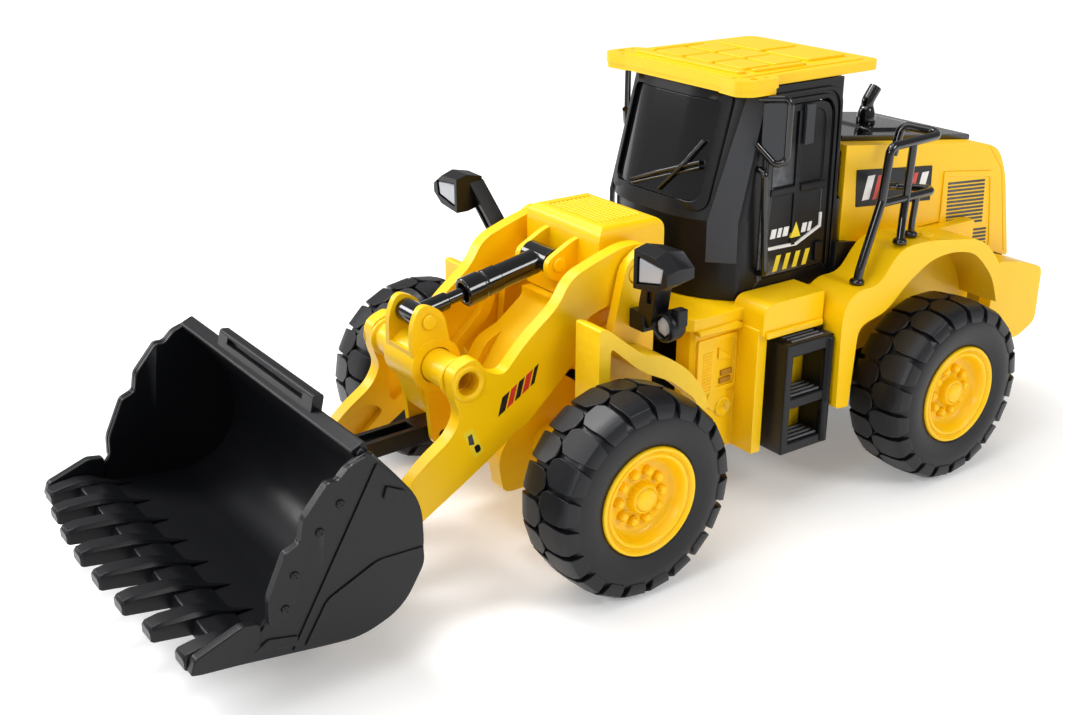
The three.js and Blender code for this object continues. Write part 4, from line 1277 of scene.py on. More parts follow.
# ---------------------------------------------------------------- front unit
@dataclass
class FrontUnit:
    """Hood over the boom pivot, arched fenders and the two lamp pods."""

    top: float = 95.9
    grille_lines: int = 10

    def hood(self) -> None:
        """Mould the loader hood with its raised grille."""
        shell = slab("hood", Axis.X, -18.7, 18.7, [
            (-13.7, 69.4), (-13.7, self.top, 5), (11.6, self.top, 5), (11.6, 69.4)], 9)
        crown = slab("crown", Axis.Y, -15, 20, [
            (60, -18.8), (self.top + 0.05, -18.8, 4), (self.top + 0.05, 18.8, 4), (60, 18.8)], 9)
        box_shape = combine(shell, "INTERSECT", crown)
        neck = slab("neck", Axis.Z, 69.4, 91, [(-13.5, 11), (-13.5, 15.6, 4), (13.5, 15.6, 4), (13.5, 11)])
        ears = [plate("ear", side, 6.4, 8.6, [
            (-12, 91), (-16, 90, 2), (-25.5, 85, 4), (-25, 79.5, 4), (-19, 77.5, 3), (-12, 80)], 9)
            for _, side in SIDES]
        body = combine(box_shape, "UNION", neck, *ears)
        tray = slab("tray", Axis.Z, self.top - 0.5, self.top + 3, [
            (-13.2, -9.6, 1.5), (13.2, -9.6, 1.5), (13.2, 7.4, 1.5), (-13.2, 7.4, 1.5)])
        combine(body, "DIFFERENCE", box("hollow", (-16.5, -11.6, 60), (16.5, 9.4, 93.5)), tray,
                pin("bore", -10, 10, -21, 83.5, 1.8), pin("bore", -20, 20, -8, 84, 3.3))
        soften(body, 0.5, 3, 28)
        bar = soften(box("bar", (-12.6, -8.9, self.top - 0.9), (12.6, -8.0, self.top + 0.05)), 0.2, 1)
        grille = ribs("grille", YELLOW, bar, self.grille_lines, (0, 1.68, 0))
        dress(merged("loader_hood_moulded", [body, grille]), YELLOW, "front_unit", "loader_hood")

    def fender(self, label: str, side: int) -> None:
        """Mould one front arch with a raised rim.

        Args:
            label: which side, for names.
            side: 1 on the driver's left, -1 on its right.
        """
        crown = [(-30.6, 74.4, 1), (-27.6, 74, 2), (-13.8, 62.9, 3), (-6.8, 61.7, 4)]
        band = [(-30.6, 46), *crown, (2.8, 55.2, 4), (9.3, 47.7, 3), (12.9, 39.9), (8.4, 39.9), (6.5, 44.4, 2),
                (-2.9, 52.2, 4), (-14.7, 58, 4), (-26.4, 68.2, 2), (-27, 46)]
        wall = plate("wall", side, 30.3, 32.4, [(-30.6, 47), *crown, (-4, 57.5), (-4, 36), (-26, 36)])
        body = combine(plate("band", side, 30.3, 41.6, band, 9), "UNION", wall)
        low, high = mirrored(side, 29, 35.5)
        combine(body, "DIFFERENCE", pin("axle", -60, 60, -31.1, 31, 7.5), box("gap", (low, -3, 30), (high, 20, 70)))
        body.name = f"front_fender_{label}_moulded"
        dress(soften(body, 0.6, 3, 28), YELLOW, "front_unit", f"front_fender_{label}")

    def lamp(self, label: str, side: int) -> None:
        """Mould one lamp pod with a hooded roof, its bracket and the round indicator below.

        Args:
            label: which side, for names.
            side: 1 on the driver's left, -1 on its right.
        """
        housing = loft("housing", [
            [(side * x, y, z) for x, z in outline] for y, outline in (
                (-22.8, ((46.2, 87.0), (46.2, 98.4), (55.4, 97.9), (60.6, 94.4), (60.6, 91.4), (56, 88.2))),
                (-18.5, ((46.2, 87.0), (46.2, 99.4), (55.5, 99.4), (61.0, 95.6), (61.0, 91.4), (56, 88.2))),
                (-12.5, ((46.6, 88.4), (46.6, 98.0), (55.0, 98.2), (60.0, 94.8), (60.0, 91.8), (55.4, 89.2))))])
        pocket = slab("pocket", Axis.Y, -24, -19.4, [
            (z, side * x) for z, x in ((88.6, 47.6), (96.8, 47.6), (95.7, 58.8), (90.8, 57.8))])
        combine(housing, "DIFFERENCE", pocket)
        soften(housing, 0.35, 2, 25)
        outline = [(97, 46.6), (97, 52.4), (86, 46.8, 3), (75, 41.6, 3), (69.6, 38.4), (68.4, 35, 1), (72, 33.4),
                   (78, 36, 3)]

        def leaned(y: float, z: float) -> float:
            """Set a place back with height, as the bracket leans."""
            return y - 0.3 * (z - 90)

        ring = rounded(outline, 5)
        bracket = loft("bracket", [[(side * x, leaned(y, z), z) for z, x in ring] for y in (-15.8, -9.8)])
        slot_ring = rounded([(95, 48.6), (95, 50.8), (86.6, 45.6), (78.6, 41.6), (78.6, 39.8), (86.6, 43.4)], 3)
        slot = loft("slot", [[(side * x, leaned(y, z), z) for z, x in slot_ring] for y in (-18.6, -14.6)])
        combine(bracket, "DIFFERENCE", slot)
        soften(bracket, 0.35, 2, 25)
        foot_low, foot_high = mirrored(side, 30.3, 37)
        foot = soften(box("foot", (foot_low, -11, 68), (foot_high, -5, 74)), 0.5)
        start, end = (side * 43.5, -3.5, 71.5), (side * 43.5, -10, 71.5)
        bezel = lathe("bezel", start, end, [
            (0, 0), (0, 4.0), (1.2, 4.6), (4.8, 4.8), (5.6, 4.6), (6.1, 4.1), (6.1, 3.7), (5.0, 3.3), (4.3, 3.2),
            (4.3, 0)], 36)
        bezel.data.shade_smooth()
        clip_low, clip_high = mirrored(side, 45, 48.4)
        clip = soften(box("clip", (clip_low, -7.4, 72), (clip_high, -3.6, 77.4)), 0.5)
        pod = merged(f"headlight_{label}_pod", [housing, bracket, foot, bezel, clip])
        dress(pod, SATIN_BLACK, "front_unit", f"headlight_{label}")
        lens = slab(f"headlight_lens_{label}_glass", Axis.Y, -22.4, -19.7, [
            (z, side * x) for z, x in ((89.0, 48.0), (96.4, 48.0), (95.3, 58.4), (91.0, 57.4))])
        dress(soften(lens, 0.5, 3), LENS, "front_unit", f"headlight_lens_{label}")
        glass = lathe(f"indicator_lens_{label}_glass", start, end, [
            (4.4, 0), (4.4, 3.0), (5.1, 3.0), (5.7, 1.9), (6.0, 0)], 6)
        dress(soften(glass, 0.15, 2), LENS, "front_unit", f"indicator_lens_{label}")

    def build(self) -> None:
        """Make the front unit's pieces and dress them."""
        self.hood()
        for label, side in SIDES:
            self.fender(label, side)
            self.lamp(label, side)


# ---------------------------------------------------------------- cab
@dataclass
class Cab:
    """Black cab with a leaning glossy windscreen, framed doors and a ribbed canopy."""

    half: float = 31.0
    floor: float = 67.3
    sill: float = 93.0
    top: float = 133.7
    front: float = 19.6
    back: float = 72.6
    lean: float = 0.264
    hazard_bars: int = 4

    def lean_at(self, z: float) -> float:
        """How far the upper front is set back at a height."""
        return self.lean * max(z - self.sill, 0.0)

    def plan(self, half: float, front: float, back: float) -> Corners:
        """Plan of the cab: a bowed front with angled corners and a square back.

        Args:
            half: half of the width.
            front: where the bow stands furthest forward.
            back: the straight rear edge.

        Returns:
            Corners in the (x, y) plane.
        """
        nose = [(half, front + 12, 2), (half * 0.74, front + 4.4, 5), (half * 0.4, front, 9)]
        return [(-half, back, 3), *[(-x, y, r) for x, y, r in nose], *reversed(nose), (half, back, 3)]

    def upper(self, inset: float) -> bpy.types.Object:
        """Make the leaning upper box, moved inwards by a wall thickness.

        Args:
            inset: how far inwards, in millimetres.

        Returns:
            The box.
        """
        foot = self.sill - (1 if inset else 0)
        ring = rounded(self.plan(self.half - inset, self.front + inset, self.back + 20), 9)
        levels = [foot, self.top - inset]
        body = loft("upper", [[(x, y + self.lean * (z - self.sill), z) for x, y in ring] for z in levels])
        return combine(body, "INTERSECT", box("limit", (-40, 0, foot - 1), (40, self.back - inset, self.top)))

    def screen_opening(self, shrink: float) -> bpy.types.Object:
        """Make the tool that opens the windscreen, smaller by a gap.

        Args:
            shrink: gap left all round.

        Returns:
            The tool.
        """
        return slab("screen", Axis.Y, 8, 38, [
            (98 + shrink, -21 + shrink, 3), (98 + shrink, 21 - shrink, 3), (129 - shrink, 21 - shrink, 3),
            (129 - shrink, -21 + shrink, 3)], 8)

    def shell(self) -> None:
        """Mould the cab's shell and its windscreen."""
        lower = slab("lower", Axis.Z, self.floor, self.sill + 1, self.plan(self.half, self.front + 1.6, 76.6), 9)
        body = combine(lower, "UNION", self.upper(0.0))
        hollow = slab("hollow", Axis.Z, self.floor - 1, self.sill, self.plan(self.half - 2.4, self.front + 4, 74.4), 9)
        hollow = combine(hollow, "UNION", self.upper(2.0))
        doorways = slab("doorways", Axis.X, -40, 40, [(41.5, 73, 1), (41.5, 127.6, 2), (68.6, 127.6, 2), (69.4, 73, 1)])
        rear_window = box("rear_window", (-24, 68, 99), (24, 90, 126))
        combine(body, "DIFFERENCE", hollow, self.screen_opening(0.0), doorways, rear_window)
        body.name = "cab_shell_moulded"
        dress(soften(body, 0.45, 3, 28), SATIN_BLACK, "rear_unit", "cab_shell")
        glass = combine(self.upper(0.2), "INTERSECT", self.screen_opening(0.3))
        combine(glass, "DIFFERENCE", self.upper(1.6))
        glass.name = "windshield_glass"
        dress(soften(glass, 0.15, 2), GLOSS_BLACK, "rear_unit", "windshield")

    def screen_frame(self) -> None:
        """Raise a rounded frame round the windscreen."""
        def ring(inset: float) -> list[Point]:
            """Draw the frame's outline, moved inwards.

            Args:
                inset: how far inwards, in millimetres.

            Returns:
                Points of the outline.
            """
            corners = [(-23 + inset, 95.6 + inset, 4), (23 - inset, 95.6 + inset, 4), (23.4 - inset, 131.6 - inset, 3),
                       (-23.4 + inset, 131.6 - inset, 3)]
            return rounded(corners, 6)

        def front_of(x: float, z: float) -> float:
            """Find the screen's surface at a place.

            Args:
                x: distance from the middle.
                z: height.

            Returns:
                Place along the machine, in millimetres.
            """
            spread = abs(x) / self.half
            bow = 4.4 * max(spread - 0.36, 0.0) ** 1.3 / 0.38**1.3 * 0.9
            return self.front + bow + self.lean_at(z) - 0.2

        outer, inner = ring(0.0), ring(2.6)
        count = len(outer)
        points = []
        for outline, lift in ((outer, 0.6), (outer, -0.45), (inner, -0.45), (inner, 0.9)):
            points += [Vector((x, front_of(x, z) + lift, z)) * MM for x, z in outline]
        faces = []
        for band in range(3):
            a, b = band * count, (band + 1) * count
            faces += [(a + i, a + (i + 1) % count, b + (i + 1) % count, b + i) for i in range(count)]
        faces += [(3 * count + i, 3 * count + (i + 1) % count, (i + 1) % count, i) for i in range(count)]
        frame_piece = linked("screen_frame", mesh_from("screen_frame", points, faces))
        dress(soften(frame_piece, 0.3, 2, 30), SATIN_BLACK, "rear_unit")

    def corner_panel(self, label: str, side: int) -> None:
        """Lay a flat charcoal panel on the angled corner beside the windscreen.

        Args:
            label: which side, for names.
            side: 1 on the driver's left, -1 on its right.
        """
        def at(t: float, z: float, lift: float) -> Point:
            """Place a point along the corner at a height, standing off its face.

            Args:
                t: share of the way from the front corner to the side.
                z: height.
                lift: how far it stands off the face.

            Returns:
                The point, in millimetres.
            """
            foot, end = Vector((23.4, 23.9)), Vector((30.9, 31.0))
            here = foot.lerp(end, t)
            out = Vector((0.69, -0.73)) * lift
            return side * (here.x + out.x), here.y + out.y + self.lean_at(z), z

        sections = []
        for z, start, stop in ((80.0, 0.06, 1.0), (self.sill, 0.06, 0.985), (131.4, 0.34, 0.93)):
            sections.append([at(start, z, -0.4), at(stop, z, -0.4), at(stop, z, 0.6), at(start, z, 0.6)])
        dress(soften(loft(f"corner_panel_{label}", sections), 0.25, 2), CHARCOAL, "rear_unit")

    def door(self, label: str, side: int) -> None:
        """Frame one door, with its ledges, prints and latch.

        Args:
            label: which side, for names.
            side: 1 on the driver's left, -1 on its right.
        """
        x = self.half + 0.2
        leaf = [(41.8, 73.3, 1), (41.8, 127.3, 2), (68.3, 127.3, 6), (69.1, 73.3, 1)]
        body = plate("leaf", side, x - 1.9, x, leaf, 9)
        pane = plate("pane", side, x - 0.6, x + 1, [
            (44.2, 101.8, 1), (44.2, 125, 2), (65.8, 125, 5), (66.2, 101.8, 1)], 9)
        recess = plate("recess", side, x - 0.4, x + 1, [
            (44.2, 81.8, 0.5), (44.2, 99, 1), (66.2, 99, 1), (66.4, 86.5, 0.5), (57, 81.8, 2)], 6)
        combine(body, "DIFFERENCE", pane, recess)
        soften(body, 0.3, 2, 28)
        ledges = [soften(plate("ledge", side, x - 0.7, x + 0.5, [
            (y0, 99.4), (y0, 101.6), (y1, 101.6), (y1, 99.4)]), 0.25) for y0, y1 in ((43.4, 53.6), (56.4, 67.2))]
        bar = soften(plate("bar", side, x - 0.7, x + 0.2, [(53.8, 82), (53.8, 125.4), (55.6, 125.4), (55.6, 82)]), 0.25)
        handle = soften(plate("latch", side, x - 0.3, x + 1.2, [
            (64.4, 75, 0.6), (64.2, 81.4, 0.6), (67.6, 81.4, 0.6), (67.8, 75, 0.6)]), 0.3)
        dress(merged(f"door_{label}_leaf", [body, *ledges, bar, handle]), SATIN_BLACK, "rear_unit", f"door_{label}")
        for number, grow in enumerate((0.5, 2.6)):
            self._door_frame(label, side, number, grow)
        stripe = plate("stripe", side, x - 0.5, x + 0.1, [
            (43.6, 81.9), (56.4, 81.6), (67.0, 86.1), (67.0, 90.9), (66.1, 90.9), (66.1, 86.7), (56.2, 82.6),
            (43.6, 82.9)])
        dashes = [
            plate("dash", side, x - 0.8, x - 0.28, [(y0, 85.4), (y1, 85.4), (y1 + 0.6, 88.4), (y0 + 0.6, 88.4)])
            for y0, y1 in ((44.8, 47.0), (47.8, 49.4), (50.2, 52.4), (58.4, 60.4), (61.2, 62.6))
        ]
        dress(merged(f"door_white_print_{label}", [stripe, *dashes]), WHITE_PRINT, "rear_unit")
        first = plate("hazard", side, x - 0.5, x + 0.06, [(46.4, 74.4), (48.4, 74.4), (49.9, 79.6), (47.9, 79.6)])
        bars = ribs("hazard_bars", YELLOW_PRINT, first, self.hazard_bars, (0, 4.3, 0))
        sign = plate("sign", side, x - 0.8, x + 0.34, [(53.2, 84.6), (57.6, 84.6), (55.4, 89.6)])
        dress(merged(f"door_yellow_print_{label}", [bars, sign]), YELLOW_PRINT, "rear_unit")

    def _door_frame(self, label: str, side: int, number: int, grow: float) -> None:
        """Raise one of the two ridges that run round a door.

        Args:
            label: which side, for names.
            side: 1 on the driver's left, -1 on its right.
            number: counted from 0.
            grow: how far outside the doorway it runs.
        """
        x = self.half

        def edge(out: float) -> Corners:
            """Draw the ridge's outline, moved outwards."""
            return [(41.4 - out * 0.4, 72.6), (41.4 - out * 0.4, 127.8 + out, 3), (68.6 + out, 127.8 + out, 7),
                    (69.4 + out, 72.6)]

        ridge = plate("ridge", side, x - 0.4, x + 0.7, edge(grow + 1.1), 9)
        combine(ridge, "DIFFERENCE", plate("inside", side, x - 2, x + 2, [
            (y, z if z > 80 else 60) for y, z in rounded(edge(grow), 9)]))
        ridge.name = f"door_ridge_{number}_{label}"
        dress(soften(ridge, 0.3, 2), SATIN_BLACK, "rear_unit")

    def flare(self, label: str, side: int) -> None:
        """Add the black wedge behind the door's foot.

        Args:
            label: which side, for names.
            side: 1 on the driver's left, -1 on its right.
        """
        wedge = loft(f"cab_flare_{label}", [
            [(side * x, 71.6 + shift, 68.6 + lift), (side * x, 76.6 + shift * 2.2, 68.6 + lift),
             (side * x, 79.8 + shift * 3, 79.0), (side * x, 72.4, 80.2)]
            for x, shift, lift in ((28.0, 0, 0), (31.4, 0, 0), (33.6, 0.8, 0.6))])
        dress(soften(wedge, 0.35, 2), SATIN_BLACK, "rear_unit")

    def mirror(self, label: str, side: int) -> None:
        """Bend the mirror's round frame and hang its glass and the small plate beside it.

        Args:
            label: which side, for names.
            side: 1 on the driver's left, -1 on its right.
        """
        origin = Vector((side * (self.half + 0.3), 35.4))
        angle = side * 0.75
        out = Vector((side * math.cos(angle), side * math.sin(angle)))

        def at(u: float, z: float) -> Point:
            """Place a point of the mirror by its distance from the wall and its height."""
            return origin.x + out.x * u, origin.y + out.y * u, z

        loop = rod(f"mirror_{label}_loop", [
            at(0.4, 131.0), at(9.9, 131.4), at(9.9, 112.4), at(6.4, 111.0), at(0.4, 117.2)], 1.05, 2.2, GLOSS_BLACK)
        dress(loop, GLOSS_BLACK, "rear_unit", f"mirror_{label}")
        normal = Vector((-out.y, out.x)) * side

        def card(name: str, corners: Corners, depth: float, finish: Finish) -> None:
            """Make a thin card in the mirror's plane.

            Args:
                name: the object's name.
                corners: its outline, as distance from the wall and height.
                depth: half its thickness.
                finish: its surface.
            """
            sections = []
            for push in (-depth, depth):
                ring = rounded(corners, 4)
                sections.append([(at(u, z)[0] + normal.x * push, at(u, z)[1] + normal.y * push, z) for u, z in ring])
            dress(soften(loft(name, sections), 0.2, 2), finish, "rear_unit")

        card(f"mirror_glass_{label}", [
            (2.0, 117.0, 1), (6.6, 112.6, 1), (9.0, 113.4, 1), (9.0, 130.2, 1), (2.0, 129.8, 1)], 0.5, CHARCOAL)
        latch = plate(f"door_catch_{label}", side, self.half + 0.2, self.half + 1.6, [
            (55.6, 114.4, 0.6), (55.6, 127.0, 0.6), (59.4, 127.0, 0.6), (59.4, 114.4, 0.6)])
        dress(soften(latch, 0.3, 2), CHARCOAL, "rear_unit")

    def grab(self, label: str, side: int) -> None:
        """Bend the long grab handle in front of the door.

        Args:
            label: which side, for names.
            side: 1 on the driver's left, -1 on its right.
        """
        wall, x = side * (self.half + 0.5), side * (self.half + 3)
        bar = rod(f"grab_handle_{label}_bar", [
            (wall, 37.8, 109), (x, 37.8, 108.2), (x, 40.2, 75.9), (wall, 40.4, 75.4)], 1.1, 1.4, GLOSS_BLACK)
        dress(bar, GLOSS_BLACK, "rear_unit", f"grab_handle_{label}")

    def wiper(self) -> None:
        """Bend the parked wiper's blade and arm."""
        def on_glass(x: float, z: float, gap: float) -> Point:
            """Place a point in front of the bowed glass."""
            return x, self.front - gap + self.lean_at(z) + 2.4 * max(abs(x) / self.half - 0.4, 0) ** 1.2 * 3, z

        blade = rod("blade", [on_glass(-10, 99.8, 0.2), on_glass(2, 104.6, 0.4), on_glass(18.6, 110.6, 0.2)],
                    0.7, 1.5, GLOSS_BLACK)
        arm = rod("arm", [on_glass(4, 99.8, 0.4), on_glass(12.4, 108.6, 0.6), on_glass(18.0, 117.0, 0.2)],
                  0.6, 1.5, GLOSS_BLACK)
        strip = rod("strip", [on_glass(-9, 98.9, 0.2), on_glass(19, 109.0, 0.2)], 0.45, 1.5, GLOSS_BLACK)
        dress(merged("wiper_bars", [blade, arm, strip]), GLOSS_BLACK, "rear_unit", "wiper")

    def roof(self) -> None:
        """Mould the canopy with raised pads, holes and ledges."""
        base = self.top + 0.3
        plan = [(34.6, 30.6, 2), (31.4, 26.6, 2), (22, 27.6, 2)]
        sheet = slab("canopy", Axis.Z, base, base + 3, [
            *[(-x, y, r) for x, y, r in plan], *reversed(plan), (34.4, 41, 1), (30.6, 43.4, 1), (30, 88.4, 3),
            (27, 90.7, 2), (-27, 90.7, 2), (-30, 88.4, 3), (-30.6, 43.4, 1), (-34.4, 41, 1)], 6)
        rim = slab("rim", Axis.Z, base + 2.4, base + 3.3, [
            (-28.4, 31.4, 2), (28.4, 31.4, 2), (28, 44, 2), (26.6, 60, 2), (26.6, 86.6, 3), (-26.6, 86.6, 3),
            (-26.6, 60, 2), (-28, 44, 2)])
        lips = [slab("lip", Axis.Z, base - 1.8, base + 1, [
            (side * 22.2, 27.9), (side * 31.2, 26.9, 2), (side * 34.3, 30.8, 2), (side * 34.2, 40.6, 1),
            (side * 31.6, 40.6), (side * 31.6, 32, 2), (side * 30, 30, 1), (side * 22.2, 30.6)]) for _, side in SIDES]
        visor = slab("visor", Axis.Z, base - 1.5, base + 1, [(-22.6, 27.8), (22.6, 27.8), (22.6, 30.4), (-22.6, 30.4)])
        body = combine(sheet, "UNION", rim, visor, *lips)
        holes = [lathe("hole", (x, y, base + 1.6), (x, y, base + 5), [(0, 0), (0, r), (4, r), (4, 0)], 20)
                 for x, y, r in ((31.4, 33.4, 1.3), (-31.4, 33.4, 1.3), (26.6, 30.0, 1.0), (-26.6, 30.0, 1.0),
                                 (31.6, 38.4, 0.9), (-31.6, 38.4, 0.9))]
        belly = box("belly", (-26, 44, base - 4), (26, 86, base + 1.2))
        combine(body, "DIFFERENCE", belly, *holes)
        soften(body, 0.4, 2, 28)
        pads = []
        for x0, x1, y0, y1 in (
            (-24.6, 24.6, 33.4, 36.8), (-20.6, -7.6, 38.8, 50.6), (-6.2, 6.2, 38.8, 50.6), (7.6, 20.6, 38.8, 50.6),
            (-20.6, -7.6, 52.6, 64.4), (-6.2, 6.2, 52.6, 64.4), (7.6, 20.6, 52.6, 64.4), (-20.6, -1.2, 66.8, 83.6),
            (1.2, 20.6, 66.8, 83.6), (22.6, 24.8, 40, 62), (-24.8, -22.6, 40, 62),
        ):
            pads.append(soften(slab("pad", Axis.Z, base + 3, base + 4.1, [
                (x0, y0, 1), (x1, y0, 1), (x1, y1, 1), (x0, y1, 1)], 4), 0.25, 2))
        dress(merged("roof_canopy", [body, *pads]), YELLOW, "rear_unit", "roof")

    def build(self) -> None:
        """Make the cab's pieces and dress them."""
        self.shell()
        self.screen_frame()
        self.wiper()
        self.roof()
        for label, side in SIDES:
            self.corner_panel(label, side)
            self.door(label, side)
            self.flare(label, side)
            self.mirror(label, side)
            self.grab(label, side)


# ---------------------------------------------------------------- rear body
@dataclass
class RearUnit:
    """Details of the body behind the joint: panels, engine hood louvres, fenders, ladders and rails."""

    hood_half: float = 30.5
    hood_crown: float = 111.0
    hood_front: float = 77.0
    hood_slope: float = -0.12
    slats: int = 12

    def body_panel(self, label: str, side: int) -> None:
        """Raise the panel, ribs and screw boss on the side of the body's nose, with two strips in painted shade for
        slots.

        Args:
            label: which side, for names.
            side: 1 on the driver's left, -1 on its right.
        """
        x = 34.5
        ledge = soften(plate("ledge", side, x - 0.5, x + 2.6, [
            (11.6, 61.4), (11.6, 63.2, 1), (27.6, 63.6, 0.8), (30, 62.6), (30, 61.0)]), 0.5)
        frame_piece = plate("panel", side, x - 0.4, x + 0.7, [
            (13.0, 40.4, 1), (13.0, 59.2, 1), (29.4, 59.4, 1), (29.4, 40.8, 1)])
        combine(frame_piece, "DIFFERENCE", plate("inset", side, x + 0.1, x + 2, [
            (20.8, 42.2, 1), (20.8, 57.8, 1), (28.6, 57.9, 1), (28.6, 42.2, 1)]))
        soften(frame_piece, 0.2, 2)
        wedge = soften(plate("wedge", side, x - 0.2, x + 0.8, [(21.6, 55.4), (28.0, 50.6), (21.6, 51.6)]), 0.2)
        seam = soften(plate("seam", side, x - 0.5, x + 0.35, [
            (12.8, 39.2), (12.8, 39.6), (29.4, 39.6), (29.4, 39.2)]), 0.1, 1)
        rib = soften(plate("rib", side, x, x + 1.0, [(15.2, 41.4), (15.2, 41.9), (18.8, 42.1), (18.8, 41.6)]), 0.12, 1)
        column = ribs("column", YELLOW, rib, 13, (0, 0, 1.05))
        oval = lathe("oval", (side * (x - 0.4), 24.6, 34.8), (side * (x + 1), 24.6, 34.8), [
            (0, 0), (0, 3.4), (1.0, 3.4), (1.4, 3.0), (1.4, 2.5), (1.1, 2.2), (1.1, 0.8), (0.5, 0.7), (0.5, 0)], 32)
        oval.data.shade_smooth()
        dress(merged(f"body_panel_{label}", [ledge, frame_piece, wedge, seam, column, oval]), YELLOW, "rear_unit")
        # the two slots are raised strips in a dark orange painted shade, standing in for the shade inside the slots
        slot = soften(plate("slot", side, x - 0.2, x + 0.85, [
            (22.6, 43.0), (22.6, 44.8), (27.2, 44.9), (27.2, 43.1)]), 0.15, 1)
        dress(ribs(f"body_slot_shades_{label}", YELLOW_PAINTED_SHADE, slot, 2, (0, 0.4, 2.6)), YELLOW_PAINTED_SHADE, "rear_unit")
        rail = soften(plate(f"deck_rail_{label}", side, 45.0, 46.6, [
            (30.8, 59.4, 0.8), (30.8, 61.6, 0.8), (55.2, 61.6, 0.8), (55.2, 59.4, 0.8)]), 0.4)
        dress(rail, YELLOW, "rear_unit")

    def hood_side(self, label: str, side: int) -> None:
        """Lay the black plate, the framed louvres and the seam on one side of the engine hood.

        Args:
            label: which side, for names.
            side: 1 on the driver's left, -1 on its right.
        """
        x = self.hood_half
        back_plate = soften(plate(f"hood_plate_{label}", side, x - 0.3, x + 0.25, [
            (83.4, 89.6, 0.4), (82.4, 102.2, 0.4), (120, 98.4, 0.4), (120.6, 86.2, 0.4)], 3), 0.1)
        dress(back_plate, SATIN_BLACK, "rear_unit")
        for colour, finish, places in (
            ("white", WHITE_PRINT, ((86.0, 3.4), (113.0, 3.4))), ("red", RED_PRINT, ((91.0, 2.0), (109.0, 2.0))),
        ):
            bars = []
            for y, width in places:
                low, top = 91.6 - 0.09 * (y - 84), 99.6 - 0.1 * (y - 84)
                bars.append(plate("bar", side, x - 0.2, x + 0.3, [
                    (y, low), (y + width, low), (y + width + 2, top), (y + 2, top)]))
            dress(merged(f"hood_{colour}_print_{label}", bars), finish, "rear_unit")
        frame_piece = plate("frame", side, x - 0.3, x + 0.6, [
            (127.0, 60, 1), (126.4, 95.4, 1), (153.6, 91.8, 2), (157.4, 66, 1), (157.4, 60, 1)])
        combine(frame_piece, "DIFFERENCE", plate("inset", side, x + 0.1, x + 2, [
            (129.2, 58), (128.4, 93.2, 1), (151.8, 90.0, 1), (155.6, 66), (155.4, 58)]))
        seam_line = plate("seam", side, x - 0.3, x + 0.25, [
            (150.4, 100.4, 1), (158.4, 91.8, 2), (165.4, 60), (166.0, 60), (159.2, 92.2, 2), (150.8, 101.2, 1)])
        dress(merged(f"hood_frame_{label}", [soften(frame_piece, 0.2), soften(seam_line, 0.1, 1)]), YELLOW, "rear_unit")
        rows = []
        for name, y0, y1, low, count in (("upper", 130.6, 150.6, 75.2, self.slats), ("lower", 137.0, 154.0, 64.8, 6)):
            drop = 0.083 * (y1 - y0)
            slat = soften(plate("slat", side, x - 0.2, x + 0.32, [
                (y0, low), (y0, low + 0.8), (y1, low + 0.8 - drop), (y1, low - drop)]), 0.1, 1)
            rows.append(ribs(name, SATIN_BLACK, slat, count, (0, -0.1, 1.36)))
        dress(merged(f"louvres_{label}", rows), SATIN_BLACK, "rear_unit")

    def fender_boss(self, label: str, side: int) -> None:
        """Set the round boss and the seam on top of a rear fender.

        Args:
            label: which side, for names.
            side: 1 on the driver's left, -1 on its right.
        """
        cap = lathe("cap", (side * 46.4, 101.0, 80.6), (side * 46.4, 101.1, 82.2), [
            (0, 0), (0, 2.6), (0.7, 2.5), (1.05, 2.1), (1.1, 1.6), (0.8, 1.3), (0.8, 0)], 24)
        cap.data.shade_smooth()
        low, high = mirrored(side, 37.6, 53.2)
        seam = soften(box("seam", (low, 95.8, 80.6), (high, 96.3, 81.9)), 0.15, 1)
        dress(merged(f"fender_trim_{label}", [cap, seam]), YELLOW, "rear_unit")

    def ladder(self, label: str, side: int) -> None:
        """Mould one ladder with deep steps and a round corner post.

        Args:
            label: which side, for names.
            side: 1 on the driver's left, -1 on its right.
        """
        low, high = mirrored(side, 40.4, 50.6)
        body = box("ladder", (low, 36, 20), (high, 56.4, 57.6))
        near, far = mirrored(side, 38, 53)
        windows = [box("window", (near, 39, z0), (far, 53.4, z1)) for z0, z1 in ((23.6, 35.4), (39, 53))]
        combine(body, "DIFFERENCE", *windows)
        soften(body, 0.6, 3)
        post = lathe("post", (side * 50.0, 54.6, 20.6), (side * 50.0, 54.6, 57.0), [
            (0, 0), (0.4, 1.7), (13, 1.7), (13.4, 1.9), (14.4, 1.9), (14.8, 1.7), (35.6, 1.7), (36.4, 1.2),
            (36.4, 0)], 24)
        post.data.shade_smooth()
        treads = []
        near, far = mirrored(side, 42.0, 42.8)
        for z in (23.7, 39.1, 57.6):
            first = soften(box("tread", (near, 39.4, z - 0.5), (far, 53.0, z + 0.35)), 0.15, 1)
            treads.append(ribs("treads", SATIN_BLACK, first, 4, (side * 2.1, 0, 0)))
        hook = soften(plate("hook", side, 41.6, 46.0, [(53, 56), (53, 60, 1), (56, 60, 1), (56, 56)]), 0.5)
        dress(merged(f"ladder_{label}_steps", [body, post, hook, *treads]), SATIN_BLACK, "rear_unit", f"ladder_{label}")

    def handrail(self, label: str, side: int) -> None:
        """Bend the guard rail on the rear fender.

        Args:
            label: which side, for names.
            side: 1 on the driver's left, -1 on its right.
        """
        def place(points: Sequence[Point]) -> list[Point]:
            """Mirror points to this side."""
            return [(side * x, y, z) for x, y, z in points]

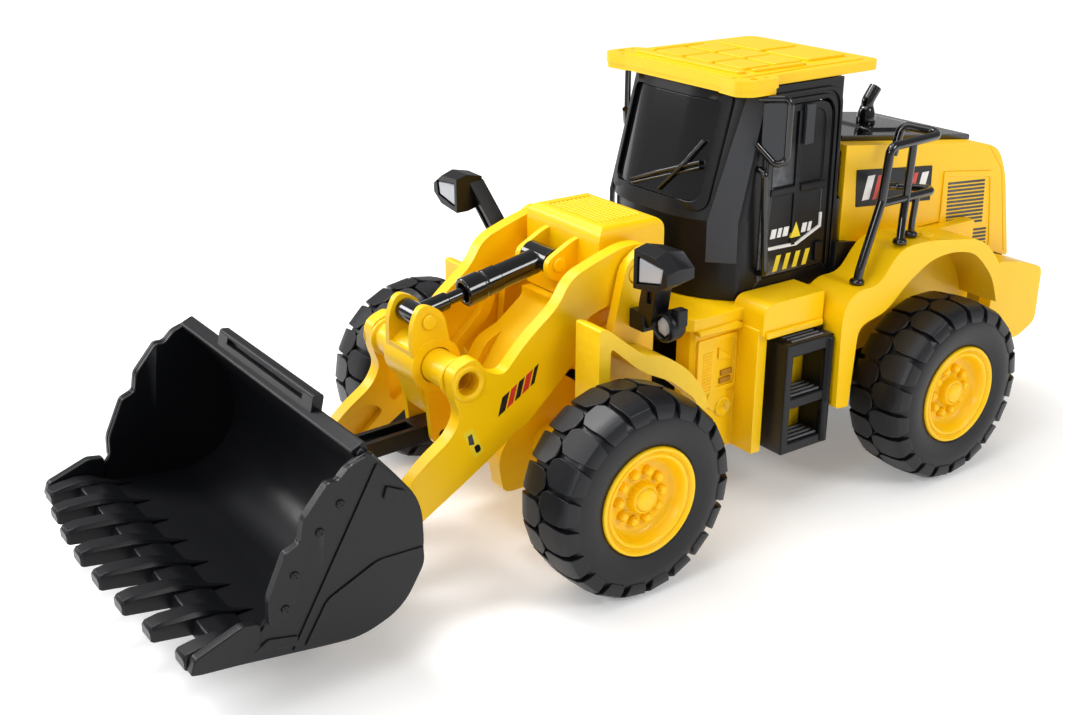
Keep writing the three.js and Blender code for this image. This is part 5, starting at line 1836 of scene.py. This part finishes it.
        post = rod("post", place([
            (48, 67.4, 71.5), (48, 68.4, 76), (48, 75.6, 97), (48, 77.4, 113.8), (48, 102.6, 114.8), (37, 94.6, 116.6),
            (36.8, 92, 107)]), 1.45, 2.6, GLOSS_BLACK)
        loop = rod("loop", place([(48, 75.4, 96), (48, 102.4, 96.5), (37, 94.4, 96.5), (37, 90.6, 97.2)]),
                   1.3, 2.4, GLOSS_BLACK)
        stay = rod("stay", place([(50, 83.6, 82.6), (48.6, 85.6, 90), (48, 87, 97), (48, 88, 114.2)]),
                   1.3, 4, GLOSS_BLACK)
        prop = rod("prop", place([(46.6, 92.6, 82.6), (47, 92.4, 88), (48, 92, 96.4)]), 1.1, 4, GLOSS_BLACK)
        shoes = []
        for x, y, z, r in ((48, 67.4, 71.2, 2.4), (50, 83.6, 82.2, 2.3), (46.6, 92.6, 82.2, 2.3)):
            shoe = lathe("shoe", (side * x, y, z), (side * x, y, z + 1), [
                (0, 0), (0, r), (0.9, r), (1.4, r * 0.85), (1.7, r * 0.6), (1.7, 0)], 24)
            shoe.data.shade_smooth()
            shoes.append(shoe)
        dress(merged(f"handrail_{label}_bars", [post, loop, stay, prop, *shoes]), GLOSS_BLACK, "rear_unit",
              f"handrail_{label}")

    def exhaust(self) -> None:
        """Turn the exhaust's collar and bend its pipe."""
        x, y = 6.0, 112.5
        low = self.hood_crown + self.hood_slope * (y - self.hood_front) + 0.1
        collar = lathe("collar", (x, y, low), (x, y, low + 1), [
            (0, 0), (0, 3.3), (4.4, 3.3), (6.0, 3.1), (7.6, 2.6), (8.8, 2.2), (8.8, 0)], 32)
        collar.data.shade_smooth()
        pipe = rod("pipe", [(x, y, low + 6), (x, y + 0.2, low + 10.4), (x, y + 3.6, 121.6)], 2.2, 3.0, GLOSS_BLACK)
        dress(merged("exhaust_pipe", [collar, pipe]), GLOSS_BLACK, "rear_unit", "exhaust")

    def build(self) -> None:
        """Make the rear unit's pieces and dress them."""
        for label, side in SIDES:
            self.body_panel(label, side)
            self.hood_side(label, side)
            self.fender_boss(label, side)
            self.ladder(label, side)
            self.handrail(label, side)
        self.exhaust()
        filler = slab("hood_filler", Axis.X, -29.5, 29.5, [(148, 60), (167.0, 54.5), (167.0, 58.5), (148, 64)])
        dress(soften(filler, 0.6), SATIN_BLACK, "rear_unit")


# ---------------------------------------------------------------- studio
@dataclass
class Studio:
    """Plain pale floor, soft lamps and the camera."""

    camera: Point = (328.99, -255.44, 212.89)
    target: Point = (0.0, -24.7, 51.3)
    lens: float = 46.64

    def build(self) -> None:
        """Make the floor, the lamps, the sky and the camera."""
        self._floor()
        self._sun()
        self._lamp("key", (-420, -160, 760), 260, 3.6)
        self._lamp("side", (700, 260, 520), 260, 2.4)
        self._lamp("front", (240, -720, 420), 220, 1.4)
        self._lamp("left", (-760, -520, 430), 240, 1.8)
        world = bpy.data.worlds.new("sky")
        world.use_nodes = True
        sky = world.node_tree.nodes["Background"]
        sky.inputs["Color"].default_value = (1.0, 1.0, 1.0, 1.0)
        sky.inputs["Strength"].default_value = 0.3
        bpy.context.scene.world = world
        bpy.context.scene.view_settings.view_transform = "Standard"
        self._camera()

    def _floor(self) -> None:
        """Make a large pale sheet with a trace of unevenness."""
        sheet = slab("floor", Axis.Z, -4.0, 0.0, [(-4000, -4000), (4000, -4000), (4000, 4000), (-4000, 4000)])
        sheet.data.materials.append(PALE_PAPER.material())

    def _sun(self) -> None:
        """Hang a wide even light high on the left, with very soft shadows."""
        light = bpy.data.lights.new("sun", "SUN")
        light.energy = 2.05
        light.angle = math.radians(70)
        lamp = bpy.data.objects.new("sun", light)
        bpy.context.scene.collection.objects.link(lamp)
        lamp.rotation_euler = Vector((0.25, 0.45, -1.0)).to_track_quat("-Z", "Y").to_euler()

    def _lamp(self, name: str, place: Point, size: float, power: float) -> None:
        """Hang one square soft lamp that looks at the machine.

        Args:
            name: the lamp's name.
            place: where it hangs, in millimetres.
            size: its edge, in millimetres.
            power: its power, in watts.
        """
        light = bpy.data.lights.new(name, "AREA")
        light.size = size * MM
        light.energy = power
        lamp = bpy.data.objects.new(name, light)
        bpy.context.scene.collection.objects.link(lamp)
        lamp.location = Vector(place) * MM
        lamp.rotation_euler = (Vector(self.target) * MM - lamp.location).to_track_quat("-Z", "Y").to_euler()

    def _camera(self) -> None:
        """Set the camera up."""
        data = bpy.data.cameras.new("view")
        data.lens = self.lens
        data.sensor_width = 36.0
        data.clip_start = 0.01
        eye = bpy.data.objects.new("view", data)
        bpy.context.scene.collection.objects.link(eye)
        eye.location = Vector(self.camera) * MM
        eye.rotation_euler = (Vector(self.target) * MM - eye.location).to_track_quat("-Z", "Y").to_euler()
        bpy.context.scene.camera = eye


FINISH_OF_SLOT = {
    Slot.YELLOW.value: YELLOW, Slot.BLACK.value: SATIN_BLACK, Slot.GLOSS.value: GLOSS_BLACK,
    Slot.RUBBER.value: RUBBER, Slot.STEEL.value: STEEL, Slot.LENS.value: LENS, Slot.RED.value: RED_LENS,
}
FINISH_OF_NODE = {"boom_pivot_pin": YELLOW}  # steel in the record, but shown in the arms' yellow


def dress_plain_nodes() -> None:
    """Soften each CAD node that no piece stands for yet, in its slot's finish."""
    slots = {entry["node"]: entry["material_slot"] for entry in frame["record"]["subparts"]}
    for node, thing in sorted(frame["nodes"].items()):
        if thing.hide_render:
            continue
        piece = soften(copied(node, f"{node}_moulded"), 0.45)
        finish = FINISH_OF_NODE.get(node, FINISH_OF_SLOT[slots[node]])
        dress(piece, finish, thing["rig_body"], node)


def main() -> None:
    """Build the machine, then the studio round it."""
    logging.basicConfig(level=logging.INFO, format="%(name)s: %(message)s", stream=sys.stdout)
    for axle, place in (("front", -31.1), ("rear", 101.0)):
        for label, side in SIDES:
            Wheel(axle, label, side, place).build()
    for unit in (Bucket(), Boom(), FrontUnit(), Cab(), RearUnit()):
        unit.build()
    dress_plain_nodes()
    Studio().build()


if __name__ == "__main__":
    main()
